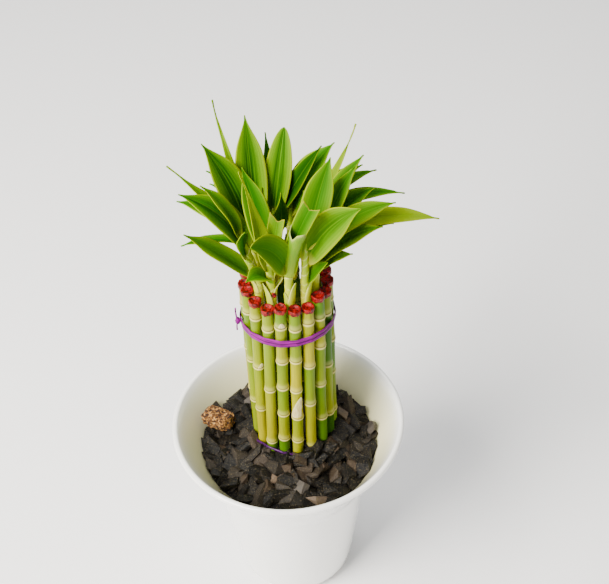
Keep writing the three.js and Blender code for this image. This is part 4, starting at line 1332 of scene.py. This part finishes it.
def sheath_flaps(blade, sheath):
    """The loose ends of sheaths round the stems that stand in front."""
    # By shoot: (heights from and to, heading, half the angle it wraps, how far its tip stands off)
    flaps = {
        "left_front": [((332, 352), 190, 85, 2.5)],
        "front_left": [((318, 349), 205, 95, 3.2), ((334, 352), -12, 70, 6.0)],
        "front": [((322, 350), -35, 95, 2.4), ((316, 340), 215, 90, 0.6)],
        "front_right": [((322, 351), -25, 90, 3.2)],
        "right_front": [((322, 348), -70, 90, 1.8)],
    }
    for shoot in SHOOTS:
        parts = []
        for flap in flaps.get(shoot[0], []):
            part = wrapped_scale(
                "sheath_flap", lambda z: shoot_axis(shoot, z), lambda z: shoot_radius(shoot, z), *flap
            )
            parts.append(thickened(part, blade, SHEATH_THICKNESS, sheath))
        if parts:
            dress(joined(f"shoot_{shoot[0]}_flaps", parts), [f"shoot_{shoot[0]}"])


def rolled_leaf(blade, sheath):
    """The young leaf still rolled up on the middle front stem: a tube, ragged and open on top."""
    shoot = SHOOTS[3]
    draw = seeded(ROLL_SEED)
    rows = 14
    columns = 25
    lobe_height = 0.07
    widening = 0.9
    flare = 1.6
    unrolling = 0.5
    start = shoot_axis(shoot, ROLL_FROM) + ROLL_ASIDE
    ragged = [between(draw, *ROLL_RAGGED) for _ in range(columns)]
    points, up, papery = [], [], []
    for row in range(rows):
        for i in range(columns):
            side = 2 * i / (columns - 1) - 1
            share = row / (rows - 1)
            share *= 1 + ragged[i] + lobe_height * math.cos(2.5 * math.pi * side)
            way = math.radians(ROLL_SEAM + 180 + ROLL_HALF_ANGLE * side)
            bend = ROLL_LEAN * share**ROLL_BEND
            centre = start + np.array([bend[0], bend[1], ROLL_LEAN[2] * share])
            reach = ROLL_RADIUS + widening * share + flare * share**5 + unrolling * side * share
            points.append(centre + level_way(way) * reach)
            up.append(share)
            papery.append(0.4 * clamp((row - rows + 2.2) / 1.2))
    roll = mesh_object("shoot_front_roll", points, sheet_faces(rows, columns))
    give(roll, green=0.75 + 0.5 * np.array(up), collar=papery)
    dress(thickened(roll, blade, SHEATH_THICKNESS, sheath), ["shoot_front"])


def cane_husks(blade, husk):
    """Scraps of dried sheath left on ring scars."""
    # (cane, heights from and to, heading, half the angle it wraps, how far its tip stands off, twist)
    scraps = [
        (5, (210.3, 236), -112, 62, 0.9, 55),
        (4, (313.2, 319), -85, 38, 0.3, 0),
        (2, (259.2, 264), -60, 40, 0.2, 0),
    ]
    for number, *scrap in scraps:
        cane = CANES[number]
        name = f"cane_{number + 1:02d}"
        sheet = wrapped_scale(f"{name}_husk", lambda z: cane_axis(cane, z), lambda z: CANE_RADIUS, *scrap)
        dress(thickened(sheet, blade, HUSK_THICKNESS, husk), [name])


def leaf_sheet(leaf, order):
    """The upper face of one blade as points, faces and what its material reads."""
    draw = seeded(BLADE_SEED + order)
    end = LEAF_KINDS[leaf.kind][2]
    rows = 40
    columns = 15
    share = np.linspace(0, 1, rows) ** 0.9
    t = np.repeat(share * end, columns)
    across = np.tile(np.linspace(-1, 1, columns), rows)
    point, tangent, side, normal = leaf.frame(t)
    point += side * (leaf.sway * 4 * t * (1 - t))[:, None]
    reach = across * leaf.half_width(t, FINE_FOOT, FINE_TIP)
    if end == 1:
        drawn = 1 - DRAWN_OUT_FROM
        last = ((t - DRAWN_OUT_FROM) / drawn).clip(0, 1)
        reach *= ((1 - t).clip(0.001) / drawn) ** (leaf.drawn_out * last * last * (3 - 2 * last))
    foot_fold = FOOT_FOLD * np.maximum(0, FOOT_SHARE - t) / FOOT_SHARE
    fold = np.radians(BLADE_FOLD_FLAT + BLADE_FOLD_FOOT * (1 - t) ** 2 + foot_fold)
    soft = np.sqrt(reach**2 + SOFT_MIDDLE**2) - SOFT_MIDDLE
    height = between(draw, *RIPPLE_HEIGHT)
    rate = between(draw, *RIPPLE_RATE)
    waves = height * np.sin(t * rate + between(draw, 0, FULL_TURN) + np.sign(across))
    ripple = waves * across**2 * np.clip(t * RIPPLE_FROM_END, 0, 1)
    ripple *= np.clip((1 - t) * RIPPLE_FROM_END, 0, 1)
    sideways = side * (reach * np.cos(fold))[:, None]
    place = point + sideways + normal * (soft * np.sin(fold) + ripple)[:, None]
    torn = np.zeros(len(t))
    if end < 1:
        edge = np.interp(across, [-1, 0, 1], TORN_EDGE)
        jag = np.array([between(draw, -TEAR_JAG, TEAR_JAG) for _ in range(columns)])
        pull = (np.repeat(share, columns) - TEAR_FROM).clip(0) / TEAR_OVER
        place += tangent * ((edge + np.tile(jag, rows)) * pull)[:, None]
        torn = (pull - TEAR_BROWN_FROM).clip(0) / TEAR_BROWN_OVER
    chance = order * GOLDEN_STEP % 1
    carried = {
        "along": t / end,
        "across": across,
        "vein": 2 * math.pi * VEINS_A_SIDE * across,
        "torn": torn,
        "green": np.full(len(t), clamp(leaf.green + 0.2 * (chance - 0.5))),
        "stripe": np.full(len(t), leaf.stripe),
        "chance": np.full(len(t), chance),
    }
    return place, sheet_faces(rows, columns), carried


def leafy_crown(shoot, leaves, blade, skin):
    """All blades of one shoot as one piece."""
    points, faces, carried = [], [], {}
    for order, leaf in leaves:
        place, sheet, numbers = leaf_sheet(leaf, order)
        faces.extend([tuple(corner + len(points) for corner in face) for face in sheet])
        points.extend(place)
        for name, values in numbers.items():
            carried.setdefault(name, []).extend(values)
    piece = mesh_object(f"shoot_{shoot[0]}_leaves", points, faces)
    give(piece, **carried)
    sizes = {"Thickness": BLADE_THICKNESS * MM, "Vein depth": VEIN_DEPTH * MM, "Material": skin}
    run_tree(piece, blade, sizes)
    piece.data.polygons.foreach_set("use_smooth", [True] * len(piece.data.polygons))
    dress(piece, [f"shoot_{shoot[0]}"])


def ring_path(z, clearance):
    """A loop drawn tight round the canes at one height."""
    centres = [cane_axis(cane, z) for cane in CANES]
    path = []
    for i in range(LOOP_STEPS):
        way = level_way(2 * math.pi * i / LOOP_STEPS)
        farthest = max(centres, key=lambda centre: centre @ way)
        path.append(farthest + way * (RING_SCAR_RADIUS + clearance))
    return path


def joined(name, parts):
    """Several finished meshes as one piece."""
    bpy.ops.object.select_all(action="DESELECT")
    for part in parts:
        part.select_set(True)
    bpy.context.view_layer.objects.active = parts[0]
    bpy.ops.object.join()
    parts[0].name = name
    return parts[0]


def strand(name, path, radii, sweep, material, sides, flatness, loop=False):
    """A ribbon or cord along a path, closed to a loop where asked."""
    edges = [(i, i + 1) for i in range(len(path) - 1)]
    if loop:
        edges.append((len(path) - 1, 0))
    made = mesh_object(name, path, [], edges)
    give(made, radius=np.array(radii) * MM)
    return run_tree(made, sweep, {"Sides": sides, "Flatness": flatness, "Material": material})


def lump_mesh(name, centre, size, levels, roughs, seed, squareness=1.0, turn=0.0):
    """A rounded lump, squarer as squareness falls, with relief as (grain in mm, depth in mm)."""
    bpy.ops.mesh.primitive_ico_sphere_add(subdivisions=levels, radius=1)
    made = bpy.context.object
    made.name = name
    for vertex in made.data.vertices:
        way = vertex.co.normalized()
        square = Vector([math.copysign(abs(part) ** squareness, part) for part in way])
        place = Vector((square.x * size[0], square.y * size[1], square.z * size[2]))
        offset = Vector((seed, seed, seed))
        depth = sum(deep * noise.noise(place / grain_size + offset) for grain_size, deep in roughs)
        placed = Matrix.Rotation(math.radians(turn), 3, "Z") @ (place + way * depth)
        vertex.co = (Vector(centre) + placed) * MM
    made.data.polygons.foreach_set("use_smooth", [True] * len(made.data.polygons))
    return made


def ribbon_piece(sweep, material):
    """Two gathered strands of ribbon, a knot at the left and its two ends."""
    parts = []
    # Each strand: (height over the ribbon's middle, clearance from the canes, seed)
    for lift, clearance, seed in ((1.75, 0.55, 67), (-1.75, 0.5, 32)):
        path = ring_path(RIBBON_HEIGHT, clearance)
        phase = between(seeded(seed), 0, FULL_TURN)
        for i, point in enumerate(path):
            turn = 2 * math.pi * i / LOOP_STEPS
            behind = clamp((point[1] - BUNDLE[1] + RING_RADIUS) / RING_RADIUS)
            point[2] += lift + 0.12 * math.sin(5 * turn + phase) - RIBBON_SAG * behind
        radii = [RIBBON_HALF_WIDTH] * LOOP_STEPS
        wound = strand("ribbon_strand", path, radii, sweep, material, sides=14, flatness=0.3, loop=True)
        parts.append(wound)
    z = RIBBON_HEIGHT - RIBBON_SAG
    from_axis = RING_RADIUS + RING_SCAR_RADIUS + GAP + KNOT_PROUD
    knot = ring_point(KNOT_ANGLE, from_axis, z)
    parts.append(lump_mesh("ribbon_knot", knot, KNOT_REACH, levels=3, roughs=[(1.6, 0.7)], seed=3))
    steps = 12
    # Each end: (degrees round from the knot, how far out, how far up)
    for turn, out, up in ((-3, 1.0, 11), (6, 1.6, -6)):
        end = ring_point(KNOT_ANGLE + turn, from_axis + out, z + up)
        path = [lerp(knot, end, share) for share in np.linspace(0, 1, steps)]
        for i, point in enumerate(path):
            point[0] -= 0.5 * math.sin(math.pi * i / (steps - 1))
        radii = list(np.linspace(0.9, 1.3, steps))
        parts.append(strand("ribbon_end", path, radii, sweep, material, sides=10, flatness=0.5))
    return joined("ribbon_tie", parts)


def low_tie_piece(sweep, material):
    """The thin tie at the gravel, which dips under the chips away from the hollow."""
    loop = ring_path(TIE_HEIGHT, TIE_CLEARANCE)
    for point in loop:
        point[2] -= TIE_DIP * (1 - bell((round_bundle(point) - HOLLOW_ANGLE) / TIE_DIP_SPREAD))
    radii = [TIE_RADIUS] * LOOP_STEPS
    return strand("low_tie_cord", loop, radii, sweep, material, sides=10, flatness=0.85, loop=True)


def round_bundle(point):
    """The degrees at which a point stands round the canes, from the front over the right."""
    return math.degrees(math.atan2(point[0] - BUNDLE[0], BUNDLE[1] - point[1]))


def gravel_height(x, y):
    """The gravel's height: heaped against the canes, but for a hollow at their front left."""
    from_ring = (math.hypot(x - BUNDLE[0], y - BUNDLE[1]) - RING_RADIUS) / HEAP_WIDTH
    hollow = bell((round_bundle((x, y)) - HOLLOW_ANGLE) / HOLLOW_SPREAD)
    swell = SWELL_HEIGHT * noise.noise(Vector((x, y, 0)) / SWELL_WIDTH)
    return GRAVEL_EDGE + (HEAP_RISE - HOLLOW_DROP * hollow) * bell(from_ring) + swell


def gravel_grid(reach, under):
    """Points of the gravel's surface in rings round the pot's axis, this far under it."""
    innermost = 2
    points = []
    for row in range(GRAVEL_RINGS):
        radius = innermost + (reach - innermost) * row / (GRAVEL_RINGS - 1)
        for i in range(GRAVEL_SIDES):
            turn = 2 * math.pi * i / GRAVEL_SIDES
            x = radius * math.cos(turn)
            y = radius * math.sin(turn)
            points.append((x, y, gravel_height(x, y) - under))
    return points


def slate_bed():
    """The packed gravel under the loose chips, closed by its sides and a flat bottom."""
    points = gravel_grid(inner_radius(GRAVEL_EDGE) - BED_TO_WALL, BED_UNDER)
    foot = inner_radius(BED_BOTTOM) - BED_TO_WALL
    for i in range(GRAVEL_SIDES):
        turn = 2 * math.pi * i / GRAVEL_SIDES
        points.append((foot * math.cos(turn), foot * math.sin(turn), BED_BOTTOM))
    faces = [face[::-1] for face in loft_faces(GRAVEL_RINGS + 1, GRAVEL_SIDES, 0, False)]
    faces.append(tuple(range(GRAVEL_SIDES)))
    last_ring = range(GRAVEL_RINGS * GRAVEL_SIDES, (GRAVEL_RINGS + 1) * GRAVEL_SIDES)
    faces.append(tuple(reversed(last_ring)))
    return mesh_object("slate_gravel_bed", points, faces)


def loose_chips(slate):
    """Chips strewn on the gravel, with a ring left open where the canes stand, and pressed back
    where they would cross the pot's wall."""
    points = gravel_grid(inner_radius(GRAVEL_EDGE) - CHIP_EDGE, 0)
    faces = []
    for a, b, c, d in loft_faces(GRAVEL_RINGS, GRAVEL_SIDES, 0, False):
        centre = (np.array(points[a]) + np.array(points[c])) / 2
        from_bundle = math.hypot(centre[0] - BUNDLE[0], centre[1] - BUNDLE[1])
        if abs(from_bundle - RING_RADIUS) > CHIPS_TO_RING:
            faces.append((d, c, b, a))
    chips = mesh_object("slate_gravel_chips", points, faces)
    values = {
        "Spacing": CHIP_SPACING * MM,
        "Smallest": [size * MM for size in SMALLEST_CHIP],
        "Largest": [size * MM for size in LARGEST_CHIP],
        "Seed": CHIP_SEED,
        "Material": slate,
    }
    run_tree(chips, chips_tree(), values)
    for vertex in chips.data.vertices:
        reach = math.hypot(vertex.co.x, vertex.co.y)
        most = (inner_radius(vertex.co.z / MM) - CHIP_TO_WALL) * MM
        if reach > most:
            vertex.co.x *= most / reach
            vertex.co.y *= most / reach
    return chips


def build_plant():
    """Makes every piece and seats it in the frame."""
    slate = split_slate()
    skin = cane_skin()
    wax = red_wax()
    leafy = leaf_skin()
    sheath = sheath_skin()
    satin = satin_ribbon()
    cord = purple_cord()
    sweep = sweep_tree()
    blade = blade_tree()

    dress(glazed_pot(), ["pot"], white_glaze())
    dress(slate_bed(), ["slate_gravel"], slate)
    dress(loose_chips(slate), ["slate_gravel"])
    relief = [(7, 2.0), (2.6, 1.3), (1.1, 0.6)]
    lump = lump_mesh("bark_lump_rough", LUMP_CENTRE, LUMP_REACH, 5, relief, 41, LUMP_SQUARENESS, LUMP_TURN)
    dress(lump, ["bark_lump"], cork_bark())

    for number, cane in enumerate(CANES):
        bamboo_cane(number, cane, sweep, skin)
        wax_cap(number, cane, wax)
    leaves = list(enumerate(grow_leaves()))
    for shoot in SHOOTS:
        sheathed_stem(shoot, sheath)
        own = [(order, leaf) for order, leaf in leaves if leaf.shoot == shoot[0]]
        leafy_crown(shoot, own, blade, leafy)
    sheath_flaps(blade, sheath)
    rolled_leaf(blade, sheath)
    cane_husks(blade, dry_husk())
    splash = shoot_axis(SHOOTS[2], DAB_HEIGHT) + DAB_ASIDE
    dab = lump_mesh("wax_seal_04_dab", splash, DAB_REACH, levels=4, roughs=[(1.5, 0.5)], seed=9)
    dress(dab, ["wax_seal_04"], wax)
    dress(ribbon_piece(sweep, satin), ["ribbon"], satin)
    dress(low_tie_piece(sweep, cord), ["low_tie"], cord)


def set_camera():
    """The photograph's own view: how high, how near and how long a lens the pot's rim gives."""
    lens_pixels = 1200
    image_width = 609
    sensor = 36
    place = Vector((0, -0.64731, 0.94623))
    right = Vector((0.99733202, -0.06350125, -0.03600597))
    up = Vector((0.06988051, 0.68788781, 0.72244521))
    forward = Vector((0.0211081, 0.72303385, -0.69049004))
    data = bpy.data.cameras.new("view")
    data.sensor_width = sensor
    data.lens = lens_pixels / image_width * sensor
    camera = bpy.data.objects.new("view", data)
    turn = Matrix((right, up, -forward)).transposed().to_4x4()
    camera.matrix_world = Matrix.Translation(place) @ turn
    bpy.context.scene.collection.objects.link(camera)
    bpy.context.scene.camera = camera


def area_light(name, place, size, power, colour):
    """A soft lamp that looks at the middle of the plant."""
    aim = Vector((0, 0, 0.3))
    data = bpy.data.lights.new(name, "AREA")
    data.size = size
    data.energy = power
    data.color = linear(colour)[:3]
    lamp = bpy.data.objects.new(name, data)
    lamp.location = place
    lamp.rotation_euler = (aim - Vector(place)).to_track_quat("-Z", "Y").to_euler()
    bpy.context.scene.collection.objects.link(lamp)


def set_studio():
    """A pale floor, a big soft lamp from the left and front, and weak fill all round."""
    world = bpy.data.worlds.new("studio")
    world.use_nodes = True
    fill = world.node_tree.nodes["Background"]
    fill.inputs["Color"].default_value = linear("#ffffff")
    fill.inputs["Strength"].default_value = 0.5
    bpy.context.scene.world = world
    area_light("key", (-1.05, -0.75, 1.4), 1.0, 112, "#fffaf2")
    area_light("top", (-0.2, 0.7, 1.8), 1.0, 20, "#ffffff")
    half = 3.0
    mesh = bpy.data.meshes.new("floor")
    corners = [(-half, -half, 0), (half, -half, 0), (half, half, 0), (-half, half, 0)]
    mesh.from_pydata(corners, [], [(0, 1, 2, 3)])
    floor = bpy.data.objects.new("floor", mesh)
    bpy.context.scene.collection.objects.link(floor)
    paper = Finish("matte_white_paper", Roughness=0.9, Base_Color="#fbfbfb")
    mesh.materials.append(paper.material)


set_camera()
set_studio()
build_plant()
